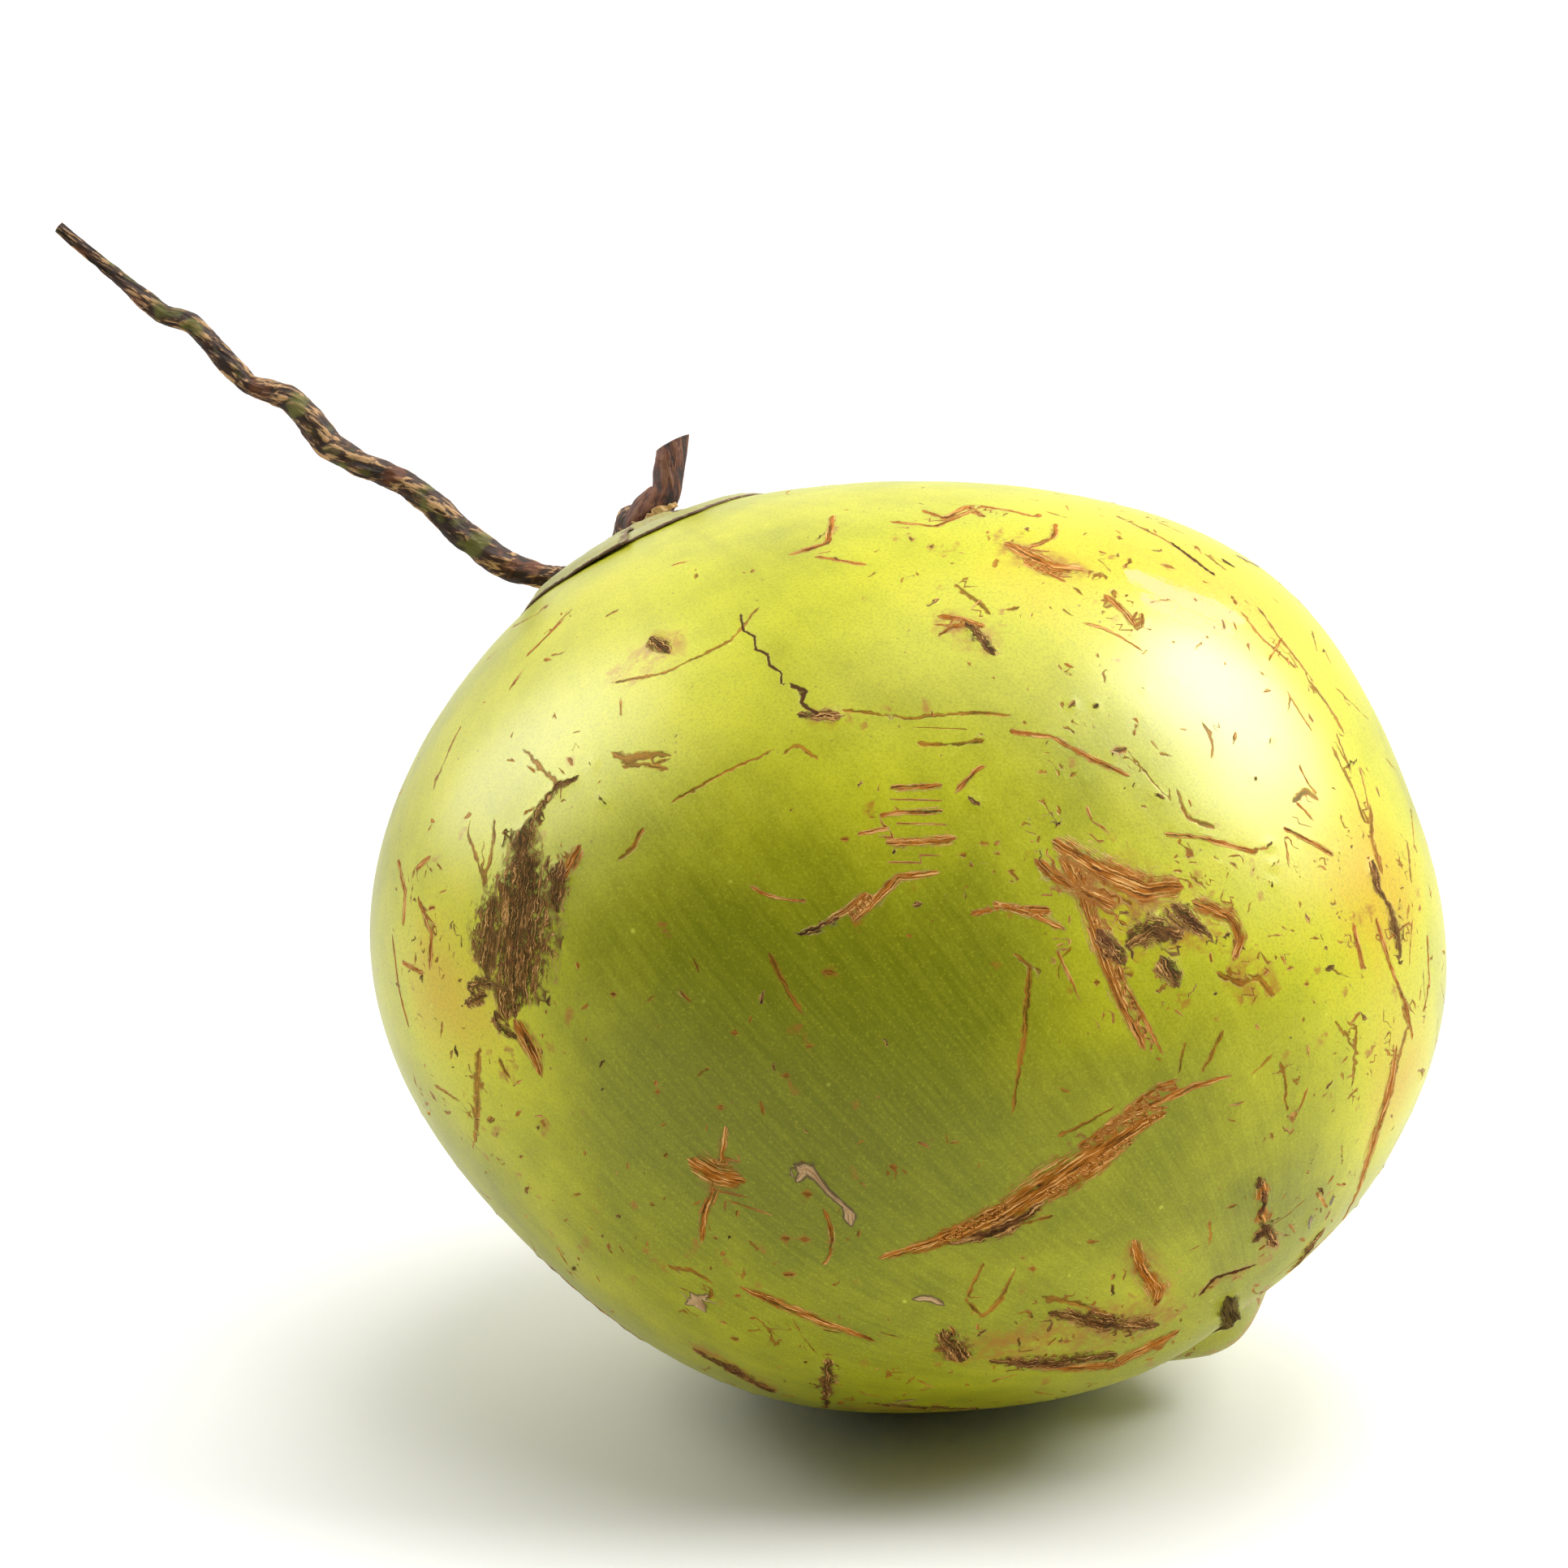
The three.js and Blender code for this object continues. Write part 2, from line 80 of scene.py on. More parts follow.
# Each mark is a stroke: its kind, its half width in mm, then points as millimetres right of and
# above the middle of the husk, as seen from the front. A third number at a point scales the
# half width there.
MARKS = (
    # The large corky scab on the left, with its fingers
    ("scab", 8.0, (-78, -12, 0.7), (-77.5, -2), (-76.5, 7, 0.8)),
    ("scab", 4.5, (-83, -6), (-82, 2, 0.8)),
    ("scab", 3.0, (-77, 7), (-76.5, 15, 0.9)),
    ("scab", 2.6, (-71, 2, 0.6), (-70, 9, 0.8)),
    ("scab", 3.0, (-77, -9), (-80, -14), (-79.5, -18, 0.4)),
    ("scab", 1.1, (-76, 13), (-75, 18), (-72.5, 22, 0.5)),
    ("scab", 0.7, (-72.5, 22), (-70, 25), (-66.5, 26.5, 0.5)),
    ("scratch", 0.47, (-77, 32, 0.4), (-74, 29), (-72, 26, 0.6)),
    ("scratch", 0.47, (-73.5, 28), (-70, 25.5)),
    ("scab", 1.0, (-87, -13, 0.5), (-85, -11.5), (-82, -12)),
    ("scab", 1.0, (-88, -16, 0.5), (-84, -14)),
    ("graze", 1.6, (-69, 8, 0.6), (-66.5, 13, 0.7)),
    ("scratch", 0.39, (-87, 16), (-83.5, 6.5)),
    ("scratch", 0.39, (-82, 19), (-82.5, 12), (-84, 6.5)),
    ("scratch", 0.39, (-54.5, 17), (-56.5, 13), (-59, 11)),
    # Below it: a hooked crack, a tan wedge and a streak
    ("scab", 1.1, (-81.5, -18), (-80.5, -20.5), (-78, -22, 0.6)),
    ("graze", 1.6, (-77.5, -20), (-75, -24), (-73.3, -29, 0.2)),
    ("scratch", 1.0, (-85, -25, 0.7), (-85.3, -33), (-85.5, -42, 0.3)),
    ("scratch", 0.62, (-81, -26), (-79, -30, 0.4)),
    ("scratch", 0.47, (-93, -31), (-88, -34, 0.5)),
    # Orange grazes at the left edge
    ("graze", 0.55, (-100, 11), (-98.5, 5), (-99, -1)),
    ("graze", 0.47, (-97, 9), (-94, 11.5)),
    ("graze", 0.47, (-96, 4), (-93.5, -3), (-94, -9)),
    ("graze", 0.39, (-101, -3), (-100, -12), (-98, -20)),
    ("graze", 0.39, (-99, -8), (-95, -10)),
    # The black zigzag crack and the brown dots where it ends
    ("crack", 0.24, (-36, 57), (-35.8, 54), (-33.5, 52.5), (-33.5, 50.5), (-31, 49.5), (-31, 47.5),
     (-28.7, 46), (-28.6, 44)),
    ("crack", 0.4, (-27, 44), (-24, 42.5), (-25, 40.5), (-22, 38.5)),
    ("scab", 1.0, (-25, 38.3, 0.7), (-20, 37.8), (-17, 38, 0.5)),
    ("stain", 1.6, (-23, 38), (-17, 37.5)),
    # A soft bruise on the upper left and small marks near it
    ("stain", 4.2, (-54, 48), (-49.5, 51.5)),
    ("scab", 1.3, (-52.5, 52), (-50, 50)),
    ("stain", 2.0, (-60, 46), (-56, 45)),
    ("graze", 0.39, (-76, 49), (-72, 53), (-69, 56)),
    ("graze", 0.39, (-79, 43), (-77, 46)),
    ("scratch", 0.39, (-61, 56.5), (-59, 57.5)),
    ("scratch", 0.39, (-44.5, 63), (-44.5, 65)),
    ("scratch", 0.39, (-34, 64.5), (-34, 65.5)),
    # Dashes and hairlines across the upper middle
    ("scratch", 0.62, (-60, 31), (-57.5, 30), (-55, 30.5), (-52, 31), (-49.5, 30.5)),
    ("scratch", 0.47, (-58, 28.5), (-54, 29), (-50, 28)),
    ("scratch", 0.27, (-49, 22), (-40, 27), (-30, 31.5)),
    ("scratch", 0.27, (-60, 44), (-50, 46), (-38, 52), (-33, 58)),
    ("scratch", 0.31, (-17, 39), (-5, 37.5), (7, 38.5), (14, 38)),
    ("scratch", 0.39, (-28, 31), (-26, 32.5), (-22, 30)),
    ("graze", 0.43, (-8, 24.5), (-4, 24.7), (1, 25)),
    ("scratch", 0.39, (-3, 33), (3, 32.5), (9, 33.5)),
    ("graze", 0.43, (-10, 19.5), (-4, 20), (1, 20.3)),
    ("graze", 0.7, (-8.5, 14.3), (-3, 14.5), (3.5, 15)),
    ("graze", 0.39, (-14, 16), (-9, 17)),
    ("graze", 0.39, (4, 24), (7, 27), (9, 28.5)),
    ("graze", 0.39, (14, 35), (22, 34), (29, 30), (36, 27)),
    # The curved mark that runs from black into tan
    ("scab", 0.5, (-26, -2.5, 0.6), (-22, -2), (-18, 0)),
    ("graze", 0.55, (-20, -0.5), (-16, 2), (-13, 4.5)),
    ("graze", 0.62, (-15, 0), (-10, 4.5), (-7, 8), (0.5, 8.7, 0.6)),
    # Middle right: the broad brown and orange scar with its two long tan scratches
    ("graze", 1.1, (19, 11, 0.6), (22, 8), (28, 5), (33, 3)),
    ("graze", 2.2, (23, 14, 0.6), (31, 9), (39, 5.5), (45, 6, 0.7)),
    ("scab", 2.6, (36.5, -4, 0.6), (40, -1.5), (44.5, -3, 0.7)),
    ("scab", 1.8, (31, -3, 0.8), (34.5, -7)),
    ("scab", 2.0, (43, -8, 0.8), (44.5, -11)),
    ("scab", 1.4, (45, 2), (48.5, -1), (51, -3, 0.5)),
    ("stain", 6.5, (29, 8, 0.6), (38, 3), (46, -1)),
    ("graze", 1.2, (49, 3), (55, 0.5), (57, -3), (56, -7, 0.4)),
    ("graze", 1.0, (24, 11), (27, 5), (31, -6), (35, -16), (39, -24, 0.5)),
    ("graze", 0.55, (26, 12), (31, -2), (36, -13), (42.5, -25, 0.5)),
    ("graze", 0.55, (11, 3), (17, 1.5), (24, -1.5)),
    ("graze", 0.39, (7, 1), (13, 2.5), (21, 2)),
    ("scratch", 0.55, (17.5, -8.5), (16.8, -20), (14.5, -36, 0.4)),
    ("scratch", 0.39, (-31, -6), (-28, -12), (-25, -17)),
    ("scratch", 0.55, (53, -10), (57, -12), (60, -10.5), (63, -14)),
    ("stain", 3.2, (57, -10), (62, -12)),
    ("graze", 0.39, (43, 16), (51, 15), (60, 12.5)),
    ("scratch", 0.47, (45, 24), (47, 19), (52, 17)),
    ("scratch", 0.6, (67, 22), (69, 24), (71, 22.5)),
    ("graze", 0.39, (65, 17), (69, 15), (74, 12)),
    # The long many-stranded scratch low on the right
    ("graze", 1.0, (-10, -63, 0.4), (0, -60), (12, -54), (24, -47), (34, -41), (43, -36, 0.4)),
    ("graze", 3.0, (2, -60, 0.2), (12, -55.5, 0.7), (21, -49.5), (31, -43, 0.7), (42, -36, 0.2)),
    ("graze", 1.2, (11, -56, 0.5), (22, -51), (30, -46), (37, -41, 0.3)),
    ("graze", 0.55, (27, -42), (37, -36), (47, -31.5), (55, -29, 0.4)),
    ("scab", 1.5, (3, -60.5, 0.3), (13, -57.5), (20, -53, 0.4)),
    ("scratch", 0.39, (-4, -62), (12, -58), (22, -55)),
    ("graze", 0.47, (30, -40), (41, -31.5), (45, -30)),
    ("scratch", 0.39, (50, -28), (52, -24), (53.5, -21)),
    # The small pale mark with a dark outline, and pale blotches lower down
    ("pale", 1.0, (-25.5, -48.5, 0.7), (-23.5, -46), (-20, -50.5, 0.6), (-16.5, -53.5, 0.7)),
    ("pale", 0.9, (-26.5, -45.5, 0.6), (-24.5, -46.5)),
    ("pale", 1.3, (-15.8, -54.5), (-15.6, -56)),
    ("pale", 1.7, (-45, -70, 0.7), (-43.5, -72)),
    ("pale", 0.9, (-46, -71.5), (-42.5, -70)),
    ("pale", 0.8, (-3.5, -70.5), (-1, -70.3), (1.5, -71.5)),
    ("scratch", 0.39, (6, -71), (9, -74), (12, -71), (15, -65, 0.5)),
    ("scratch", 0.31, (6, -70), (9, -64)),
    # The tan patch low on the left with its two tails
    ("graze", 2.4, (-44.5, -45.5, 0.7), (-41, -47.5), (-36.5, -48.5, 0.6)),
    ("graze", 0.47, (-40, -45), (-39, -39)),
    ("graze", 0.7, (-41, -50), (-43, -55), (-43.5, -60, 0.5)),
    # Long scars along the bottom
    ("graze", 1.0, (-36, -68.5, 0.5), (-29, -71.5), (-21, -75), (-11, -78.5, 0.4)),
    ("scratch", 0.62, (-49.5, -64.5, 0.4), (-45, -65.5), (-41, -68, 0.4)),
    ("scab", 1.3, (-20, -81, 0.3), (-20, -85.5), (-20.3, -91, 0.3)),
    ("scab", 2.2, (-44, -80.5, 0.6), (-38, -83.5), (-30.5, -87.5, 0.6)),
    ("stain", 2.6, (-44, -80), (-31, -87)),
    ("stain", 3.0, (-78, -60), (-68, -72), (-56, -81)),
    ("scab", 1.0, (-75, -63, 0.5), (-66, -73), (-56, -80.5, 0.4)),
    ("stain", 2.5, (-16, -91), (0, -91.5), (14, -91)),
    ("scab", 1.2, (-12, -90, 0.6), (-4, -90.7), (8, -91, 0.6)),
    ("pale", 0.8, (-7, -89.7), (-4, -89.3)),
    # The worn patch beside the blossom end
    ("stain", 6.0, (5, -81, 0.6), (20, -78), (33, -75.5), (44, -73, 0.6)),
    ("scab", 2.8, (2, -77, 0.6), (4.5, -81)),
    ("scab", 2.2, (11, -82, 0.5), (21, -82.5), (33, -81, 0.6)),
    ("scab", 2.2, (22, -73, 0.5), (32, -75), (41, -75.5, 0.5)),
    ("graze", 1.7, (33, -83), (40, -79.5), (44.5, -77, 0.7)),
    ("graze", 1.4, (14, -82), (25, -83.5), (34, -83)),
    ("scratch", 0.55, (20, -70), (27, -71.5), (33, -74)),
    ("graze", 1.4, (37, -60, 0.5), (38.5, -65), (41.5, -69), (41, -71.5, 0.6)),
    ("stain", 2.4, (37, -61), (42, -70)),
    # Near the crease: two corky blobs and a star below them
    ("scab", 1.0, (60.5, -48.5), (60.5, -49.5)),
    ("graze", 1.5, (61, -50), (61, -51.3)),
    ("graze", 1.4, (60.8, -54.3), (61.2, -55.6)),
    ("scab", 0.8, (61, -51), (61, -54.5)),
    ("scab", 1.3, (59.5, -59.5, 0.7), (61.5, -57.5), (63.5, -60.5, 0.7)),
    ("stain", 1.5, (61, -58), (63.5, -61)),
    # The right-hand ridge: a tan streak, brown lines and white specks of wax
    ("graze", 1.4, (86, -24, 0.4), (84.5, -33), (81.5, -42), (79, -50, 0.6), (76, -56, 0.3)),
    ("scratch", 0.62, (88, -20), (85.5, -30), (83, -38)),
    ("scab", 1.6, (72, -58, 0.6), (69, -62), (66.5, -65, 0.4)),
    ("pale", 0.5, (74, -51.5), (73.5, -53)),
    ("pale", 0.5, (70, -55), (69.5, -57.5)),
    ("scratch", 0.55, (81, 21), (81.5, 14), (83, 9)),
    ("scab", 1.2, (81.5, 10), (82, 6), (83.5, 4, 0.5)),
    ("scab", 1.4, (84, 3, 0.6), (86, -3), (86.5, -7, 0.5)),
    ("graze", 0.47, (82, 0), (84.5, -8), (88, -17), (89, -22)),
    ("graze", 0.47, (78, -1), (79.5, -9)),
    ("scratch", 0.47, (88, 14), (88.5, 7)),
    ("scratch", 0.47, (87, -16), (88.5, -20)),
    ("graze", 0.39, (91.5, -3), (92, -12), (91, -17)),
    ("scratch", 0.39, (78.5, -20), (78, -30)),
    ("scratch", 0.31, (65, -28), (65.5, -36)),
    ("scratch", 0.39, (74, 32), (78, 24), (80, 18)),
    # Upper right: orange scribbles, a pale rubbed patch and a brown line down the ridge
    ("graze", 0.55, (-27, 68), (-20, 70), (-19, 75)),
    ("graze", 0.39, (-22, 67.5), (-13, 66)),
    ("graze", 0.55, (-2, 76), (2, 74.5), (6, 77), (9, 75)),
    ("graze", 0.39, (-8, 74), (0, 73), (7, 76)),
    ("graze", 0.39, (8, 77), (14, 76), (18, 75)),
    ("graze", 1.5, (13.5, 70, 0.5), (17, 68), (22, 65.5), (27, 65, 0.6)),
    ("graze", 0.7, (17, 66.5), (22, 64), (24, 63, 0.5)),
    ("graze", 0.47, (17, 69), (22, 71), (22.5, 73.5)),
    ("graze", 0.7, (32, 60), (35, 57.5), (37.5, 54, 0.6)),
    ("graze", 0.55, (1, 56.5), (5, 56), (9, 54.5)),
    ("scab", 1.1, (6, 55, 0.6), (8, 53), (11, 49.5, 0.6)),
    ("graze", 0.47, (1, 53), (3, 54.5), (8, 55)),
    ("stain", 3.0, (2, 56), (10, 51)),
    ("stain", 3.4, (14, 69), (26, 65)),
    ("scratch", 0.47, (4, 62), (8, 59), (10, 57)),
    ("scratch", 0.39, (13.5, 57.5), (15.5, 58)),
    ("rub", 3.0, (37, 64, 0.7), (46, 59.5), (56, 56, 0.7)),
    ("rub", 1.6, (39, 59.5, 0.7), (48, 55), (55, 53.5, 0.5)),
    ("scratch", 0.39, (34, 75), (42, 71), (46, 68.5)),
    ("crack", 0.55, (44, 70), (48, 67), (52.5, 63.5, 0.5)),
    ("scratch", 0.39, (50, 68), (54, 65)),
    ("scab", 0.9, (53.8, 66.5), (55.5, 65.5, 0.5)),
    ("pale", 0.7, (56, 67.5), (60, 65.5)),
    ("scratch", 0.39, (60, 58), (66, 50), (70, 45)),
    ("scratch", 0.55, (70, 44), (73, 40), (76, 35)),
    ("scratch", 0.39, (57, 57), (61, 52), (67, 47)),
    # The blossom scar in its dimple, the crease with a dark line painted along it as its shade, and
    # the brown rim of the tallest lobe
    ("scar", 2.2, (54.3, -71), (54.9, -74.8, 0.9)),
    ("scar", 1.0, (53.5, -75.5), (51.5, -77, 0.4)),
    ("crack", 0.4, (49.5, -70), (52, -67), (56.5, -65.5), (60, -64.3, 0.4)),
    ("stain", 1.3, (50, -69.5), (54, -66), (62, -63.5)),
    ("stain", 1.6, (61.5, -68.5), (60.5, -73), (56.5, -78.5), (50, -81.5)),
    ("scratch", 0.39, (60, -70), (60.5, -72)),
)

# Round freckles, as millimetres right of and above the middle, with their size in mm.
FRECKLES = (
    (-28, -29, 1.0), (-23.5, -23.5, 0.9), (-37.5, -21, 0.9), (-24, -51, 1.3), (-28, -59.5, 1.3),
    (-24.5, -59.5, 1.2), (-37.5, -78, 1.3), (-37, -70, 0.8), (-41, -59.5, 0.7), (-8, -46, 1.0),
    (-17, 15, 0.8), (9, 14, 1.0), (14, 9, 0.8), (-12, 19, 0.8), (20, 22, 0.9), (47, 13, 0.9),
    (45, 9, 0.9), (36, -10, 1.2), (30, -12, 1.0), (62, -8, 0.9), (66, -9, 0.9), (69, -12, 0.8),
    (18, -65, 1.0), (16, -63, 0.8), (-20, -81, 0.9), (-50, -3, 0.6), (-33, 8, 0.6), (-60, -14, 0.8),
    (-40, -35, 1.0), (-52, -32, 0.8), (5, 12, 0.7), (-5, -3, 0.5), (74, 3, 0.8), (62, -80, 0.8),
)

# Drifts of small marks: mm right and up of their middle, their spread each way, and how many.
DRIFTS = (
    (50, -4, 13, 8, 90), (84, 0, 6, 20, 80), (-88, -38, 7, 14, 45), (0, -86, 34, 4, 70),
    (30, -76, 14, 5, 60), (40, 58, 14, 8, 45), (-96, 0, 5, 12, 35), (68, -55, 6, 8, 40),
    (20, 12, 16, 10, 40), (-60, -62, 16, 8, 60), (10, 68, 22, 6, 45), (-76, 18, 7, 12, 35),
    (-40, -40, 26, 14, 60), (20, 30, 26, 10, 40), (75, -20, 8, 20, 50), (-80, -12, 8, 12, 50),
)

# Where the skin is yellower (+) or greener (-) than elsewhere: mm right and up, spread, strength.
# The greener patches at the front middle (-22, -22) and below it (0, -60) are painted shade:
# deeper green, so darker, where the front of the fruit faces away from the lights.
YELLOWING_AND_SHADE = (
    (-92, -15, 22, 0.9), (-70, -45, 20, 0.25), (-72, 38, 26, 0.35), (-40, 30, 26, 0.15),
    (-60, -45, 26, -0.15), (-22, -22, 34, -0.75), (0, -60, 45, -0.15), (45, -45, 26, -0.1),
    (82, 5, 20, 1.1), (86, -32, 16, 1.0), (45, 2, 18, 0.45), (62, 56, 30, 0.75), (20, 66, 26, 0.5),
    (0, 30, 28, 0.2), (40, -68, 12, 0.35), (66, -50, 16, -0.2), (-60, 62, 22, 0.15),
)

KINDS = ("scab", "graze", "scratch", "crack", "pale", "rub", "stain", "scar")

# ---- Stem: centreline points and radii, mm ----

STUB = (
    (-51.1, 31.1, 155.5, 3.2),
    (-52.3, 32.0, 157.2, 3.8),
    (-50.4, 31.8, 160.6, 3.6),
    (-47.6, 32.0, 164.0, 2.8),
    (-46.3, 35.2, 172.9, 2.95),
)
TWIG = (
    (-51.6, 32.2, 159.4, 2.8),
    (-54.4, 39.4, 157.0, 2.9),
    (-56.2, 47.9, 150.2, 2.8),
    (-61.0, 51.6, 143.6, 2.6),
    (-70.5, 50.7, 143.8, 2.3),
    (-78.0, 51.1, 145.5, 2.7),
    (-82.8, 50.8, 148.4, 2.9),
    (-87.4, 51.7, 151.9, 2.8),
    (-93.8, 52.2, 158.2, 2.5),
    (-99.7, 53.3, 162.5, 2.5),
    (-107.1, 52.0, 165.8, 2.4),
    (-113.9, 54.0, 169.5, 2.8),
    (-117.1, 54.1, 174.1, 2.8),
    (-121.8, 55.2, 178.7, 2.5),
    (-129.4, 54.9, 181.4, 1.9),
    (-139.9, 56.7, 192.6, 2.0),
    (-145.9, 56.2, 195.0, 2.0),
    (-155.9, 58.2, 203.1, 1.2),
    (-165.7, 59.2, 211.2, 1.0),
)

# ---- Settings a user would change ----


class HuskSettings(bpy.types.PropertyGroup):
    facets: IntProperty(
        name="Facets", description="Quads along each side of the six husk patches", default=128
    )
    flattening: FloatProperty(
        name="Flattening",
        description="How much nearer the front and back are than the sides",
        default=3.0 * MM,
        unit="LENGTH",
    )
    ridge_height: FloatProperty(
        name="Ridge height",
        description="Height of the three long ridges at the waist",
        default=2.6 * MM,
        unit="LENGTH",
    )
    ridge_azimuth: FloatProperty(
        name="Ridge azimuth",
        description="Turn of the first ridge about the fruit's axis",
        default=math.radians(50),
        unit="ROTATION",
    )
    green: FloatVectorProperty(
        name="Green", description="Skin at its greenest, sRGB", default=(0.475, 0.49, 0.0),
        subtype="COLOR_GAMMA", min=0, max=1,
    )
    yellow: FloatVectorProperty(
        name="Yellow", description="Skin at its yellowest, sRGB", default=(0.83, 0.82, 0.11),
        subtype="COLOR_GAMMA", min=0, max=1,
    )


class CalyxSettings(bpy.types.PropertyGroup):
    gap: FloatProperty(
        name="Gap", description="Space between neighbouring pieces", default=0.3 * MM, unit="LENGTH"
    )
    thickness: FloatProperty(
        name="Scale thickness", description="Thickness of a calyx scale", default=0.4 * MM,
        unit="LENGTH",
    )
    leaf: FloatVectorProperty(
        name="Scale colour", description="Dried olive green of the scales, sRGB",
        default=(0.57, 0.57, 0.27), subtype="COLOR_GAMMA", min=0, max=1,
    )


class StemSettings(bpy.types.PropertyGroup):
    sides: IntProperty(name="Sides", description="Facets round the stem", default=48)
    wrinkle: FloatProperty(
        name="Wrinkle", description="Depth of the bark's wrinkles", default=0.32 * MM, unit="LENGTH"
    )
    bark: FloatVectorProperty(
        name="Bark colour", description="Dried brown bark, sRGB", default=(0.29, 0.18, 0.11),
        subtype="COLOR_GAMMA", min=0, max=1,
    )


class StageSettings(bpy.types.PropertyGroup):
    lens: FloatProperty(
        name="Lens", description="Focal length on a 36 mm sensor", default=100.0
    )
    floor: FloatProperty(
        name="Floor", description="Width of the pale floor", default=14.0, unit="LENGTH"
    )
    softbox_power: FloatProperty(
        name="Softbox power", description="Power of each side softbox", default=7.0, unit="POWER"
    )


# ---- Small tools ----


def deselect():
    if bpy.context.object and bpy.context.object.mode != "OBJECT":
        bpy.ops.object.mode_set(mode="OBJECT")
    bpy.ops.object.select_all(action="DESELECT")


def linear(colour):
    """An sRGB colour, as '#rrggbb' or three numbers, as linear RGBA."""
    if isinstance(colour, str):
        colour = [int(colour[i : i + 2], 16) / 255 for i in (1, 3, 5)]
    return (*[c / 12.92 if c <= 0.04045 else ((c + 0.055) / 1.055) ** 2.4 for c in colour], 1)


def add_node(tree, kind, sockets=None, out=0, **settings):
    """Adds a shader node with its settings, and with its sockets, by name or in order, set to a
    value or linked from another's output. Returns its output of that number or name, or all."""
    node = tree.nodes.new("ShaderNode" + kind)
    for name, value in settings.items():
        setattr(node, name, value)
    if isinstance(sockets, tuple):
        sockets = dict(enumerate(sockets))
    for name, value in (sockets or {}).items():
        if isinstance(value, bpy.types.NodeSocket):
            tree.links.new(value, node.inputs[name])
        else:
            node.inputs[name].default_value = value
    return node.outputs if out is None else node.outputs[out]


def new_material(name):
    """A material with no nodes yet, and add_node for its node tree."""
    material = bpy.data.materials.new(name)
    material.use_nodes = True
    material.node_tree.nodes.clear()
    return material, partial(add_node, material.node_tree)


def coordinates(mesh):
    points = np.empty(len(mesh.vertices) * 3)
    mesh.vertices.foreach_get("co", points)
    return points.reshape(-1, 3)


def set_coordinates(mesh, points):
    mesh.vertices.foreach_set("co", np.ascontiguousarray(points, dtype=np.float32).ravel())
    mesh.update()


def add_attribute(mesh, name, values):
    values = np.asarray(values, dtype=np.float32)
    kind, key = ("FLOAT", "value") if values.ndim == 1 else ("FLOAT_VECTOR", "vector")
    mesh.attributes.new(name, kind, "POINT").data.foreach_set(key, values.ravel())


def smoothstep(low, high, x):
    t = np.clip((x - low) / (high - low), 0, 1)
    return t * t * (3 - 2 * t)


def unevenness(points, seed):
    """Smooth noise from -1 to 1, one bump to a unit, the same every run."""
    cell = np.floor(points).astype(np.int64)
    part = points - cell
    part = part * part * (3 - 2 * part)
    total = np.zeros(len(points))
    for corner in np.ndindex(2, 2, 2):
        at = cell + corner
        mixed = at[:, 0] * 374761393 + at[:, 1] * 668265263 + at[:, 2] * 1274126177 + seed * 69069
        mixed = (mixed ^ (mixed >> 13)) * 1103515245 & 0x7FFFFFFF
        mixed = (mixed ^ (mixed >> 15)) & 0xFFFF
        weight = np.prod(np.where(np.array(corner) == 1, part, 1 - part), axis=1)
        total += weight * (mixed / 32767.5 - 1)
    return total


def turned(axis, angle):
    """A turn about X (0) or Y (1) as a matrix."""
    c, s = math.cos(angle), math.sin(angle)
    if axis == 0:
        return np.array([[1, 0, 0], [0, c, -s], [0, s, c]])
    return np.array([[c, 0, s], [0, 1, 0], [-s, 0, c]])


LIE = turned(0, -NOD_BACK) @ turned(1, -LEAN_LEFT) @ turned(0, -TIP_BACK)


# ---- Husk shape ----


def section_radius(angle):
    """A smooth closed curve through the section radii, as their trigonometric interpolation."""
    count = len(SECTION_RADII)
    total = np.zeros_like(angle)
    for k, radius in enumerate(SECTION_RADII):
        x = angle - 2 * math.pi * k / count
        bottom = count * np.tan(x / 2)
        near = np.abs(bottom) < 1e-7
        total += radius * np.where(near, 1, np.sin(count * x / 2) / np.where(near, 1, bottom))
    return total


def skin_radius(polar, turn):
    """Distance in mm from the centre to the skin, at an angle from the stem pole and an azimuth
    that is 0 towards the front and 90 degrees towards the left."""
    husk = bpy.context.scene.coconut_husk
    left, right = section_radius(polar), section_radius(2 * math.pi - polar)
    waist = np.sin(polar) ** 2
    radius = (left + right) / 2 + (left - right) / 2 * np.sin(turn)
    radius -= husk.flattening / MM * waist * np.cos(turn) ** 2
    radius += husk.ridge_height / MM * waist * np.cos(3 * (turn - husk.ridge_azimuth))
    for azimuth, off_pole, spread, height in SWELLINGS:
        azimuth, off_pole, spread = (math.radians(a) for a in (azimuth, off_pole, spread))
        cosine = -np.cos(polar) * math.cos(off_pole)
        cosine += np.sin(polar) * math.sin(off_pole) * np.cos(turn - azimuth)
        radius += height * np.exp(-2 * (1 - cosine) / spread**2)
    return radius


def polar_and_turn(directions):
    """The angle from the stem pole and the azimuth of directions in the lying fruit."""
    upright = directions @ LIE
    return np.arccos(np.clip(upright[:, 2], -1, 1)), np.arctan2(-upright[:, 0], -upright[:, 1])


def on_skin(directions, above=0.0):
    """Points on the skin in mm, in unit directions from the fruit's centre."""
    polar, turn = polar_and_turn(directions)
    return FRUIT_CENTRE + directions * (skin_radius(polar, turn) + above)[:, None]


def direction_of(polar, turn):
    upright = np.stack(
        [-np.sin(polar) * np.sin(turn), -np.sin(polar) * np.cos(turn), np.cos(polar)], axis=-1
    )
    return upright @ LIE.T


